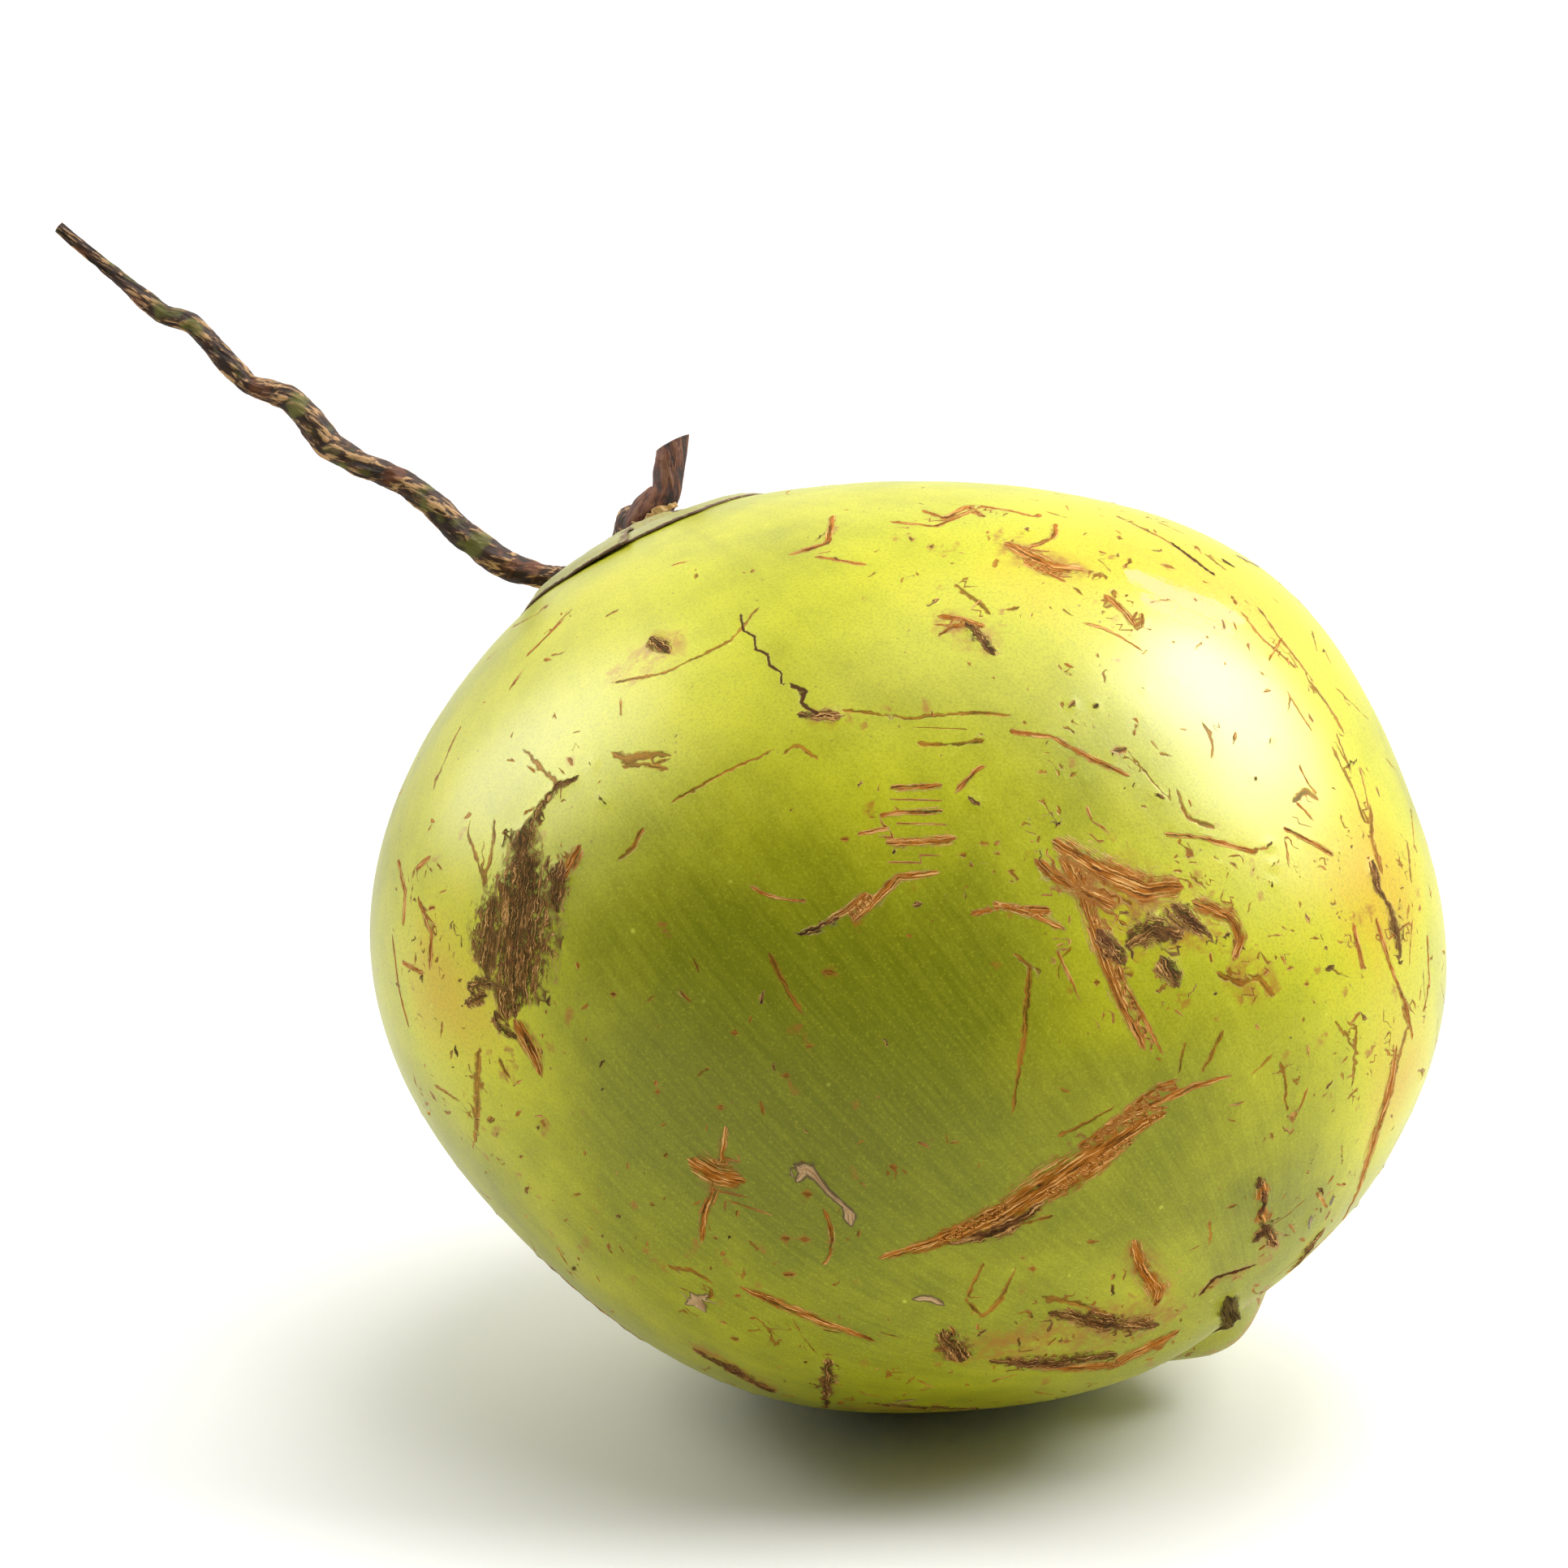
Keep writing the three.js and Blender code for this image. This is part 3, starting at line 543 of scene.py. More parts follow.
def seen_from_front(right, up):
    """Directions from the centre to the skin points that lie behind places on an upright sheet
    through the fruit's centre, given as mm right and up, for the person at EYE."""
    sheet = np.stack([right, up * math.sin(SIGHT_DIP), up * math.cos(SIGHT_DIP)], axis=-1)
    sheet = sheet + FRUIT_CENTRE
    sight = sheet - EYE
    sight /= np.linalg.norm(sight, axis=1)[:, None]

    def height(step):
        offset = sheet + sight * step[:, None] - FRUIT_CENTRE
        distance = np.linalg.norm(offset, axis=1)
        polar, turn = polar_and_turn(offset / distance[:, None])
        return distance - skin_radius(polar, turn)

    outside = np.full(len(sheet), -130.0)
    inside = outside.copy()
    lowest = np.full(len(sheet), 1e9)
    for step in np.linspace(-120, 25, 59):
        high = height(np.full(len(sheet), step))
        better = (high < lowest) & (lowest > 0)
        inside = np.where(better, step, inside)
        lowest = np.where(better, high, lowest)
    for _ in range(22):
        middle = (outside + inside) / 2
        above = height(middle) > 0
        outside, inside = np.where(above, middle, outside), np.where(above, inside, middle)
    found = sheet + sight * inside[:, None] - FRUIT_CENTRE
    return found / np.linalg.norm(found, axis=1)[:, None]


# ---- Marks ----


def strokes_from_front(lines):
    """The places of strokes on the skin every 0.6 mm, and their width factors there."""
    right, up, width, ends = [], [], [], []
    for line in lines:
        points = np.array([p if len(p) == 3 else (*p, 1.0) for p in line], dtype=float)
        spans = np.linalg.norm(np.diff(points[:, :2], axis=0), axis=1)
        length = np.concatenate([[0], np.cumsum(spans)])
        steps = np.linspace(0, length[-1], max(3, int(length[-1] / 0.6)))
        for found, i in ((right, 0), (up, 1), (width, 2)):
            found.extend(np.interp(steps, length, points[:, i]))
        ends.append(len(width))
    directions = seen_from_front(np.array(right), np.array(up))
    return zip(np.split(directions, ends[:-1]), np.split(np.array(width), ends[:-1]))


def wandering_stroke(random, start, heading, length):
    """A short scratch on the skin from a direction, on a slightly curved course."""
    steps = max(3, int(length / 0.5))
    here, course, directions = start, heading, []
    bend = random.normal(0, 0.03)
    for _ in range(steps):
        directions.append(here)
        side = np.cross(here, course)
        course = course + bend * side
        course = course - here * (course @ here)
        course /= np.linalg.norm(course)
        here = here + course * (length / steps / 92)
        here /= np.linalg.norm(here)
    return np.array(directions), np.linspace(1, 0.5, steps)


def strokes():
    """All marks as (kind, half width, directions, width factors): those listed, and the
    small ones that cover the whole husk."""
    laid = [(kind, width, points) for kind, width, *points in MARKS]
    for right, up, size in FRECKLES:
        laid.append(("stain", size * 0.8, ((right, up), (right + 0.5, up))))
        laid.append(("scratch", size * 0.55, ((right, up), (right + 0.4, up))))
    random = np.random.default_rng(11)
    for right, up, wide, high, count in DRIFTS:
        for _ in range(count):
            x, y = right + wide * random.normal(), up + high * random.normal()
            if math.hypot(x + 4, y + 4) > 100:
                continue
            lean, length = random.normal(1.2, 0.8), 0.4 + 2.2 * random.random() ** 3
            end = (x + length * math.cos(lean), y + length * math.sin(lean))
            kind = ("scratch", "graze", "scratch", "stain", "scab")[random.integers(5)]
            width = 0.2 + 0.28 * random.random() ** 2 + (0.5 if kind == "stain" else 0)
            laid.append((kind, width, ((x, y), end)))
    placed = strokes_from_front([points for _, _, points in laid])
    made = [(kind, width, *found) for (kind, width, _), found in zip(laid, placed)]
    front = np.array([0.0, -math.cos(SIGHT_DIP), math.sin(SIGHT_DIP)])
    for i in range(1300):
        start = random.normal(size=3)
        start /= np.linalg.norm(start)
        polar, turn = polar_and_turn(start[None])
        if polar[0] < 0.3:
            continue
        facing = start @ front
        # Fewer on the upper left, where the skin stayed clean
        clean = facing > 0.1 and start[0] < 0.15 and start[2] > -0.45
        if clean and random.random() < 0.8:
            continue
        along = direction_of(polar + 0.05, turn)[0] - start
        heading = along * random.normal(0.9, 0.5) + np.cross(start, along) * random.normal(0, 0.8)
        heading = heading - start * (heading @ start)
        heading /= np.linalg.norm(heading)
        size = random.random()
        kind = "scratch" if random.random() < 0.55 else "graze"
        if i % 7 == 0:
            stroke = wandering_stroke(random, start, heading, 1.2 + 1.5 * size)
            made.append(("stain", 0.6 + 0.5 * size, *stroke))
            made.append(("scratch", 0.35 + 0.25 * size, *stroke))
        else:
            stroke = wandering_stroke(random, start, heading, 1.5 + 11 * size**3)
            made.append((kind, 0.2 + 0.25 * random.random() ** 2, *stroke))
    # Broad worn places on the sides that the front doesn't show
    for i in range(26):
        start = random.normal(size=3)
        start /= np.linalg.norm(start)
        polar, turn = polar_and_turn(start[None])
        if start @ front > -0.15 or polar[0] < 0.4:
            continue
        heading = direction_of(polar + 0.05, turn)[0] - start
        heading += np.cross(start, heading) * random.normal(0, 1)
        heading /= np.linalg.norm(heading)
        length = 6 + 26 * random.random()
        stroke = wandering_stroke(random, start, heading, length)
        kind, width = (("graze", 1.3), ("scab", 2.2), ("stain", 3.5))[i % 3]
        made.append((kind, width * (0.6 + 0.8 * random.random()), *stroke))
        if kind != "stain":
            made.append(("stain", width * 1.8, *stroke))
    return made


def mark_maps(points):
    """For each kind of mark, every skin point's place beside the nearest stroke: mm across it, mm
    along it, and the stroke's half width there, which is -9 far from any."""
    outward = points - FRUIT_CENTRE
    outward /= np.linalg.norm(outward, axis=1)[:, None]
    maps = {kind: np.tile([9.0, 0.0, -9.0], (len(points), 1)) for kind in KINDS}
    best = {kind: np.full(len(points), -99.0) for kind in KINDS}
    for number, (kind, half_width, directions, factor) in enumerate(strokes()):
        line = on_skin(directions)
        course = np.gradient(line, axis=0)
        course /= np.linalg.norm(course, axis=1)[:, None] + 1e-9
        length = np.concatenate([[0], np.cumsum(np.linalg.norm(np.diff(line, axis=0), axis=1))])
        reach = half_width + 2.2
        middle = line.mean(axis=0)
        spread = np.linalg.norm(line - middle, axis=1).max() + reach
        towards = (middle - FRUIT_CENTRE) / np.linalg.norm(middle - FRUIT_CENTRE)
        near = np.nonzero(outward @ towards > math.cos(min(spread / 70, 3)))[0]
        if not len(near):
            continue
        gap = np.linalg.norm(points[near][:, None] - line[None], axis=2)
        closest = gap.argmin(axis=1)
        near, closest = near[gap.min(axis=1) < reach], closest[gap.min(axis=1) < reach]
        offset = points[near] - line[closest]
        side = np.cross(outward[near], course[closest])
        across = (offset * side).sum(axis=1)
        onward = (offset * course[closest]).sum(axis=1)
        width = half_width * factor[closest]
        ends = (closest == 0) | (closest == len(line) - 1)
        beyond = np.where(ends, np.abs(onward), 0)
        width = width - beyond
        margin = width - np.abs(across)
        wins = margin > best[kind][near]
        chosen = near[wins]
        best[kind][chosen] = margin[wins]
        place = length[closest] + onward + 37.0 * number
        maps[kind][chosen] = np.stack([across[wins], place[wins], width[wins]], axis=1)
    return maps


# ---- Husk ----


def ball_of_patches(facets):
    """A cube finely divided and rounded, with its six faces kept as even patches. Returns the
    object and each vertex's place on the cube."""
    deselect()
    bpy.ops.mesh.primitive_cube_add(size=2)
    ball = bpy.context.object
    bpy.ops.object.mode_set(mode="EDIT")
    bpy.ops.mesh.select_all(action="SELECT")
    bpy.ops.mesh.subdivide(number_cuts=facets // 2 - 1)
    bpy.ops.mesh.subdivide(number_cuts=1)
    bpy.ops.object.mode_set(mode="OBJECT")
    cube = coordinates(ball.data)
    even = np.tan(cube * math.pi / 4)
    return ball, cube, even / np.linalg.norm(even, axis=1)[:, None]


def lay_out_patches(mesh, cube):
    """The husk's own UV map: its six patches in three columns and two rows."""
    corners = np.empty(len(mesh.loops), dtype=np.int64)
    mesh.loops.foreach_get("vertex_index", corners)
    places = cube[corners].reshape(-1, 4, 3)
    middles = places.mean(axis=1)
    axis = np.abs(middles).argmax(axis=1)
    upper = middles[np.arange(len(middles)), axis] > 0
    first, second = (axis + 1) % 3, (axis + 2) % 3
    rows = np.arange(len(middles))[:, None]
    u = places[rows, np.arange(4)[None], first[:, None]] * 0.49 + 0.5
    v = places[rows, np.arange(4)[None], second[:, None]] * 0.49 + 0.5
    u = np.where(upper[:, None], u, 1 - u)
    uv = np.stack([(u + axis[:, None]) / 3, (v + upper[:, None]) / 2], axis=-1)
    layer = mesh.uv_layers.new(name="OFBake") if not mesh.uv_layers else mesh.uv_layers[0]
    layer.name = "OFBake"
    layer.data.foreach_set("uv", uv.astype(np.float32).ravel())


def waxy_husk_skin():
    """The cuticle of an unripe coconut: waxed and tight, so it is smooth to the hand and shines
    softly, over yellow-green flesh. Rubs and scratches dry to brown and tan cork that is matt."""
    husk = bpy.context.scene.coconut_husk
    material, add = new_material("waxy_green_husk")
    place = add("TexCoord", out="Object")
    millimetres = add("VectorMath", {0: place, "Scale": 1000.0}, operation="SCALE")

    # Fine growth lines: about 0.8 mm apart at the waist, running from pole to pole
    meridian = add("Attribute", out="Vector", attribute_name="meridian")
    lines = add("TexNoise", {"Vector": meridian, "Scale": 1.0, "Detail": 3.0, "Roughness": 0.6})
    broad_lines = add("TexNoise", {"Vector": meridian, "Scale": 0.22})
    # Skin pores: 0.5 mm grain
    grain = add("TexNoise", {"Vector": millimetres, "Scale": 2.2, "Roughness": 0.6})
    cloud = add("TexNoise", {"Vector": millimetres, "Scale": 0.035, "Detail": 3.0})
    patch = add("TexNoise", {"Vector": millimetres, "Scale": 0.11, "Detail": 3.0, "Roughness": 0.6})

    # The yellowing, which also carries the painted shade that makes the front middle greener and
    # darker
    ripeness_and_shade = add("Attribute", out="Fac", attribute_name="yellowing_and_shade")
    for pattern, strength in ((cloud, 0.9), (patch, 0.5), (broad_lines, 0.22)):
        ripeness_and_shade = add("Math", (ripeness_and_shade, -strength / 2), operation="ADD")
        ripeness_and_shade = add("Math", (pattern, strength, ripeness_and_shade), operation="MULTIPLY_ADD")
    golden = add("MapRange", (ripeness_and_shade, 0.75, 1.7), interpolation_type="SMOOTHSTEP")
    ripeness_and_shade = add("MapRange", (ripeness_and_shade, -0.15, 1.15), interpolation_type="SMOOTHSTEP")
    streaks = add("MapRange", (lines, 0.35, 0.68), interpolation_type="SMOOTHSTEP")
    dark = add("MapRange", (grain, 0.55, 0.3), interpolation_type="SMOOTHSTEP")
    light = add("MapRange", (grain, 0.56, 0.72), interpolation_type="SMOOTHSTEP")
    # Pale yellow stomata spots, 1 mm wide and some 6 mm apart
    dots = add("TexVoronoi", {"Vector": millimetres, "Scale": 0.16})
    dots = add("MapRange", (dots, 0.1, 0.03), interpolation_type="SMOOTHSTEP")
    spotted = add("MapRange", (patch, 0.5, 0.62), interpolation_type="SMOOTHSTEP")
    dots = add("Math", (dots, spotted), operation="MULTIPLY")
    # Tiny brown specks, 0.5 mm wide, in loose drifts
    specks = add("TexVoronoi", {"Vector": millimetres, "Scale": 0.42})
    specks = add("MapRange", (specks, 0.15, 0.07), interpolation_type="SMOOTHSTEP")
    drift = add("TexNoise", {"Vector": millimetres, "Scale": 0.06, "Detail": 3.0, "Roughness": 0.7})
    drift = add("MapRange", (drift, 0.52, 0.66), interpolation_type="SMOOTHSTEP")
    specks = add("Math", (specks, drift), operation="MULTIPLY")

    # Makes strokes waver
    wobble = add("TexNoise", {"Vector": millimetres, "Scale": 0.9})
    wobble = add("Math", (wobble, 1.4, -0.7), operation="MULTIPLY_ADD")
    slow_wobble = add("TexNoise", {"Vector": millimetres, "Scale": 0.26, "Detail": 1.0})
    wobble = add("Math", (slow_wobble, 1.2, wobble), operation="MULTIPLY_ADD")
    wobble = add("Math", (wobble, -0.6), operation="ADD")
    # Makes their margins ragged
    ragged = add(
        "TexNoise", {"Vector": millimetres, "Scale": 0.55, "Detail": 3.0, "Roughness": 0.7}
    )
    ragged = add("Math", (ragged, 2.0, -1.0), operation="MULTIPLY_ADD")

    def mark(name, waver, fray, strands, soft):
        """How much of this kind of mark covers the skin, and its grain along the stroke. Fray
        breaks it up all over, and strands splits it along its length."""
        beside = add("Attribute", out="Vector", attribute_name=name)
        parts = add("SeparateXYZ", (beside,), None)
        across = add("Math", (wobble, waver, parts["X"]), operation="MULTIPLY_ADD")
        from_line = add("Math", (across,), operation="ABSOLUTE")
        margin = add("Math", (parts["Z"], from_line), operation="SUBTRACT")
        half_width = add("Math", (parts["Z"], 0.3), operation="MAXIMUM")
        margin = add("Math", (margin, half_width), operation="DIVIDE")
        fine_across = add("Math", (across, 3.6), operation="MULTIPLY")
        coarse_along = add("Math", (parts["Y"], 0.13), operation="MULTIPLY")
        strand = add("CombineXYZ", (fine_across, coarse_along))
        fibre = add(
            "TexNoise",
            {"Vector": strand, "Scale": 1.0, "Detail": 4.0, "Roughness": 0.65, "Distortion": 0.35},
        )
        frayed = add("Math", (ragged, fray, margin), operation="MULTIPLY_ADD")
        frayed = add("Math", (fibre, strands, frayed), operation="MULTIPLY_ADD")
        frayed = add("Math", (frayed, strands * 0.5), operation="SUBTRACT")
        return add("MapRange", (frayed, -soft, soft), interpolation_type="SMOOTHSTEP"), fibre

    def dried(fibre, darkest, *steps):
        """The colours of dried fibres: the darkest, then others where the grain is higher."""
        shade = linear(darkest)
        for low, high, paint in steps:
            share = add("MapRange", (fibre, low, high), interpolation_type="SMOOTHSTEP")
            shade = add("Mix", {0: share, 6: shade, 7: linear(paint)}, 2, data_type="RGBA")
        return shade

    stain, _ = mark("stain", 0.5, 0.9, 0.6, 0.75)
    cloudy = add(
        "TexNoise", {"Vector": millimetres, "Scale": 0.35, "Detail": 4.0, "Roughness": 0.7}
    )
    cloudy = add("MapRange", (cloudy, 0.35, 0.62), interpolation_type="SMOOTHSTEP")
    stain = add("Math", (stain, cloudy), operation="MULTIPLY")
    rub, _ = mark("rub", 0.3, 0.9, 4.0, 0.3)
    scratch, scratch_fibre = mark("scratch", 0.6, 1.5, 1.5, 0.45)
    brown = dried(scratch_fibre, "#4a2a0e", (0.4, 0.6, "#b8742c"))
    halo, graze_fibre = mark("graze", 0.35, 1.0, 4.4, 1.0)
    graze, _ = mark("graze", 0.35, 1.0, 4.4, 0.35)
    tan = dried(graze_fibre, "#4c290e", (0.42, 0.51, "#b96c1e"), (0.53, 0.62, "#efbb70"))
    scab, scab_fibre = mark("scab", 1.0, 1.5, 3.2, 0.35)
    flake = add("Math", (ragged, 0.12, scab_fibre), operation="MULTIPLY_ADD")
    cork = dried(flake, "#372012", (0.46, 0.55, "#80512a"), (0.56, 0.63, "#deab66"))
    crack, _ = mark("crack", 0.5, 0.8, 0.8, 0.35)
    scar, scar_fibre = mark("scar", 0.5, 0.5, 1.0, 0.3)
    scar_brown = dried(scar_fibre, "#2b1f0c", (0.4, 0.6, "#6d5a2a"))
    pale, pale_fibre = mark("pale", 0.3, 0.35, 0.4, 0.25)
    buff = dried(pale_fibre, "#9c7648", (0.4, 0.6, "#d2b07c"))
    parts = add("SeparateXYZ", (add("Attribute", out="Vector", attribute_name="pale"),), None)
    inside = add("Math", (parts["X"],), operation="ABSOLUTE")
    inside = add("Math", (parts["Z"], inside), operation="SUBTRACT")
    inside = add("Math", (ragged, 0.2, inside), operation="MULTIPLY_ADD")
    inside = add("MapRange", (inside, 0.25, 0.5), interpolation_type="SMOOTHSTEP")

    # From the flesh's own colour, with its painted shade on the front middle, up: where each layer
    # lies, how strong it is, and its colour
    colour = add(
        "Mix", {0: ripeness_and_shade, 6: linear(husk.green), 7: linear(husk.yellow)}, 2, data_type="RGBA"
    )
    for cover, strength, paint in (
        (golden, 0.75, linear("#d9a81c")),
        (streaks, 0.16, linear("#c3c52c")),
        (dark, 0.22, linear("#565c00")),
        (light, 0.26, linear("#d2d23a")),
        (dots, 0.55, linear("#dfe04a")),
        (specks, 0.75, linear("#8a5a20")),
        (stain, 0.7, linear("#a8661a")),
        (rub, 0.7, linear("#e8c48e")),
        (scratch, 0.85, brown),
        (halo, 0.55, linear("#9a5a10")),
        (graze, 0.95, tan),
        (scab, 0.95, cork),
        # Cracks, and the dark line of painted shade along the crease by the tallest lobe
        (crack, 0.96, linear("#4c2614")),
        (scar, 1, scar_brown),
        (pale, 0.9, linear("#5d4326")),
        (inside, 1, buff),
    ):
        if strength < 1:
            cover = add("Math", (cover, strength), operation="MULTIPLY")
        colour = add("Mix", {0: cover, 6: colour, 7: paint}, 2, data_type="RGBA")

    dry = add("Math", (scab, scar), operation="MAXIMUM")
    dry = add("Math", (graze, dry), operation="MAXIMUM")
    cut = add("Math", (rub, 0.5), operation="MULTIPLY")
    cut = add("Math", (crack, cut), operation="MAXIMUM")
    dry = add("Math", (dry, cut), operation="MAXIMUM")
    gloss = add("Math", (lines, 0.1, 0.3), operation="MULTIPLY_ADD")
    gloss = add("Math", (patch, 0.08, gloss), operation="MULTIPLY_ADD")
    roughness = add("Mix", {0: dry, 2: gloss, 3: 0.75}, data_type="FLOAT")
    dull = add("Math", (dry, scratch), operation="MAXIMUM")

    # Heights in mm: growth lines and pores, corky fibres, and the sunk scratches and cracks
    relief = add("Math", (grain, 0.03), operation="MULTIPLY")
    relief = add("Math", (lines, 0.03, relief), operation="MULTIPLY_ADD")
    corky = add("Math", (graze, 0.8), operation="MULTIPLY")
    corky = add("Math", (scab, corky), operation="MAXIMUM")
    crumb = add("Math", (scab_fibre, 0.5, 0.1), operation="MULTIPLY_ADD")
    corky = add("Math", (corky, crumb), operation="MULTIPLY")
    relief = add("Math", (relief, corky), operation="ADD")
    relief = add("Math", (scratch, -0.08, relief), operation="MULTIPLY_ADD")
    relief = add("Math", (crack, -0.2, relief), operation="MULTIPLY_ADD")
    ridged = add("Math", (graze, 0.35), operation="MULTIPLY")
    relief = add("Math", (graze_fibre, ridged, relief), operation="MULTIPLY_ADD")
    normal = add("Bump", {"Height": relief, "Distance": 0.001, "Strength": 0.6})
    surface = add(
        "BsdfPrincipled",
        {
            "Base Color": colour,
            "Roughness": roughness,
            "IOR": 1.46,
            "Normal": normal,
            "Specular IOR Level": add("Math", (dull, -0.17, 0.22), operation="MULTIPLY_ADD"),
            "Coat Weight": add("Math", (dull, -0.15, 0.15), operation="MULTIPLY_ADD"),
            "Coat Roughness": 0.28,
            "Coat IOR": 1.4,
        },
    )
    add("OutputMaterial", {"Surface": surface}, None)
    return material


class COCONUT_OT_husk(bpy.types.Operator):
    """Grow the husk with its ridges, blossom end, flat spot and marks"""

    bl_idname = "coconut.husk"
    bl_label = "Husk"

    def execute(self, context):
        settings = context.scene.coconut_husk
        facets = settings.facets
        husk, cube, directions = ball_of_patches(facets)
        husk.name = husk.data.name = "coconut_husk"
        points = on_skin(directions)
        maps = mark_maps(points)
        polar, turn = polar_and_turn(directions)

        # Cork stands up a little and is rough, cracks are cut in, the blossom scar is lumpy
        def cover(kind, soft):
            across, _, width = maps[kind].T
            return smoothstep(-soft, soft, width - np.abs(across))

        rough = unevenness(points / 1.6, 3) + 0.6 * unevenness(points / 0.9, 4)
        lift = 0.30 * cover("scab", 0.8) * (0.7 + 0.8 * rough)
        lift += 0.16 * cover("graze", 0.5) * (0.2 + rough)
        lift -= 0.15 * cover("crack", 0.3)
        lift += 0.9 * cover("scar", 0.8) * (0.4 + 0.9 * rough)
        lift += 0.30 * cover("pale", 0.4)
        lift += 0.22 * unevenness(points / 26, 5) + 0.08 * unevenness(points / 9, 6)
        points = points + directions * lift[:, None]
        points[:, 2] = np.maximum(points[:, 2], 0)
        set_coordinates(husk.data, points * MM)

        for kind in KINDS:
            add_attribute(husk.data, kind, maps[kind])
        round_the_axis = np.stack(
            [90 * np.cos(turn), 90 * np.sin(turn), np.degrees(polar) * 0.11], axis=1
        )
        add_attribute(husk.data, "meridian", round_the_axis)
        # Yellower towards the top, then the listed patches: yellowing, and painted shade that makes
        # the front middle greener and darker
        yellowing_and_shade = 0.42 + 0.12 * directions[:, 2]
        for right, up, spread, strength in YELLOWING_AND_SHADE:
            middle = on_skin(seen_from_front(np.array([right]), np.array([up])))[0]
            gap = np.linalg.norm(points - middle, axis=1)
            yellowing_and_shade = yellowing_and_shade + strength * np.exp(-((gap / spread) ** 2))
        add_attribute(husk.data, "yellowing_and_shade", yellowing_and_shade)
        lay_out_patches(husk.data, cube)

        husk.data.shade_smooth()
        husk.data.materials.clear()
        husk.data.materials.append(waxy_husk_skin())
        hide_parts("husk")
        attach(husk, "root")
        return {"FINISHED"}


# ---- Calyx ----


def sheet(name, columns, rows):
    """A flat grid piece, its columns and rows as fractions from 0 to 1."""
    deselect()
    bpy.ops.mesh.primitive_grid_add(x_subdivisions=columns, y_subdivisions=rows, size=2)
    piece = bpy.context.object
    piece.name = piece.data.name = name
    flat = coordinates(piece.data)
    return piece, (flat[:, 0] + 1) / 2, (flat[:, 1] + 1) / 2


def thicken(piece, thickness):
    """Gives a sheet its thickness and softens its rim."""
    solid = piece.modifiers.new("thickness", "SOLIDIFY")
    solid.thickness, solid.offset, solid.use_even_offset = thickness, 0.0, False
    deselect()
    piece.select_set(True)
    bpy.context.view_layer.objects.active = piece
    bpy.ops.object.modifier_apply(modifier=solid.name)
    bpy.ops.object.mode_set(mode="EDIT")
    bpy.ops.mesh.select_all(action="SELECT")
    bpy.ops.mesh.normals_make_consistent(inside=False)
    bpy.ops.object.mode_set(mode="OBJECT")
    piece.data.shade_smooth()


def dried_leaf(name, leaf, margin_colour):
    """A calyx scale drying on the fruit: leathery and faintly shiny where still olive green, and
    papery, brown and matt along its margin, with fine veins that run out to it."""
    material, add = new_material(name)
    place = add("TexCoord", out="Object")
    spot = add("TexNoise", {"Vector": place, "Scale": 700.0, "Detail": 4.0, "Roughness": 0.65})
    veins = add("Attribute", out="Vector", attribute_name="veins")
    # Veins about 0.7 mm apart
    vein = add("TexNoise", {"Vector": veins, "Scale": 1.4, "Detail": 2.0})
    rim = add("Attribute", out="Fac", attribute_name="rim")
    edge = add("Math", (spot, 3.0, rim), operation="MULTIPLY_ADD")
    dry = add("MapRange", {"Value": edge, "From Min": 2.15, "From Max": 1.65})
    green = add("Mix", {0: vein, 6: linear(leaf), 7: linear("#b0aa68")}, 2, data_type="RGBA")
    colour = add("Mix", {0: dry, 6: green, 7: linear(margin_colour)}, 2, data_type="RGBA")
    dark = add("MapRange", {"Value": spot, "From Min": 0.66, "From Max": 0.76})
    colour = add("Mix", {0: dark, 6: colour, 7: linear("#5a4a34")}, 2, data_type="RGBA")
    roughness = add("Mix", {0: dry, 2: 0.42, 3: 0.8}, data_type="FLOAT")
    relief = add("Math", (vein, 0.6, spot), operation="MULTIPLY_ADD")
    normal = add("Bump", {"Height": relief, "Distance": 0.0003, "Strength": 0.6})
    surface = add(
        "BsdfPrincipled",
        {"Base Color": colour, "Roughness": roughness, "IOR": 1.3, "Normal": normal},
    )
    add("OutputMaterial", {"Surface": surface}, None)
    return material


def calyx_scale(name, azimuth, reach, skew, hole, half_span, lift, overlap, thickness, seed):
    """One scale that hugs the husk, with a torn, slightly curled rim."""
    piece, column, row = sheet(name, 72, 30)
    across = 2 * column - 1
    along_rim = np.stack([across * half_span / 7, 0 * across, 0 * across], axis=1)
    tear = 0.55 * unevenness(along_rim * 1.0, seed) + 0.28 * unevenness(along_rim * 3.1, seed + 1)
    rim = reach * (1 - 0.08 * across**4) - skew * across + tear * (reach / 19)
    polar = np.radians(hole + (rim - hole) * row)
    turn = np.radians(azimuth + half_span * across)
    ride = overlap * smoothstep(-0.8, 0.8, -across)
    to_rim = (1 - row) * (rim - hole) * 1.6
    from_rim = np.minimum(to_rim, (1 - np.abs(across)) * 14 * row + 0.1)
    # The rim lies tight on what is under it
    tight = smoothstep(0.0, 3.5, to_rim)
    stand = (lift + ride) * tight + (1 - tight) * (0.02 + 0.5 * smoothstep(0.6, 0.9, -across))
    ribs = unevenness(np.stack([turn * 26, row * 1.5, 0 * row + seed], axis=1), seed + 2)
    curl = 0.05 * smoothstep(2.2, 0.0, from_rim) * (0.5 + unevenness(along_rim * 2.3, seed + 3))
    height = stand + thickness / 2 + 0.06 * ribs + curl
    points = on_skin(direction_of(polar, turn), height)
    set_coordinates(piece.data, points * MM)
    add_attribute(piece.data, "rim", from_rim)
    veins = np.stack([20 * np.cos(turn), 20 * np.sin(turn), row * 1.5], axis=1)
    add_attribute(piece.data, "veins", veins)
    thicken(piece, thickness * MM)
    return piece


# Azimuth of each scale, how far its rim is from the stem pole, and how much further one side goes
PETAL_SCALES = ((72, 18, 5), (192, 16, 0), (-48, 17.5, -4))
SEPAL_SCALES = ((18, 9, 0), (138, 9, 0), (258, 8.5, 0))


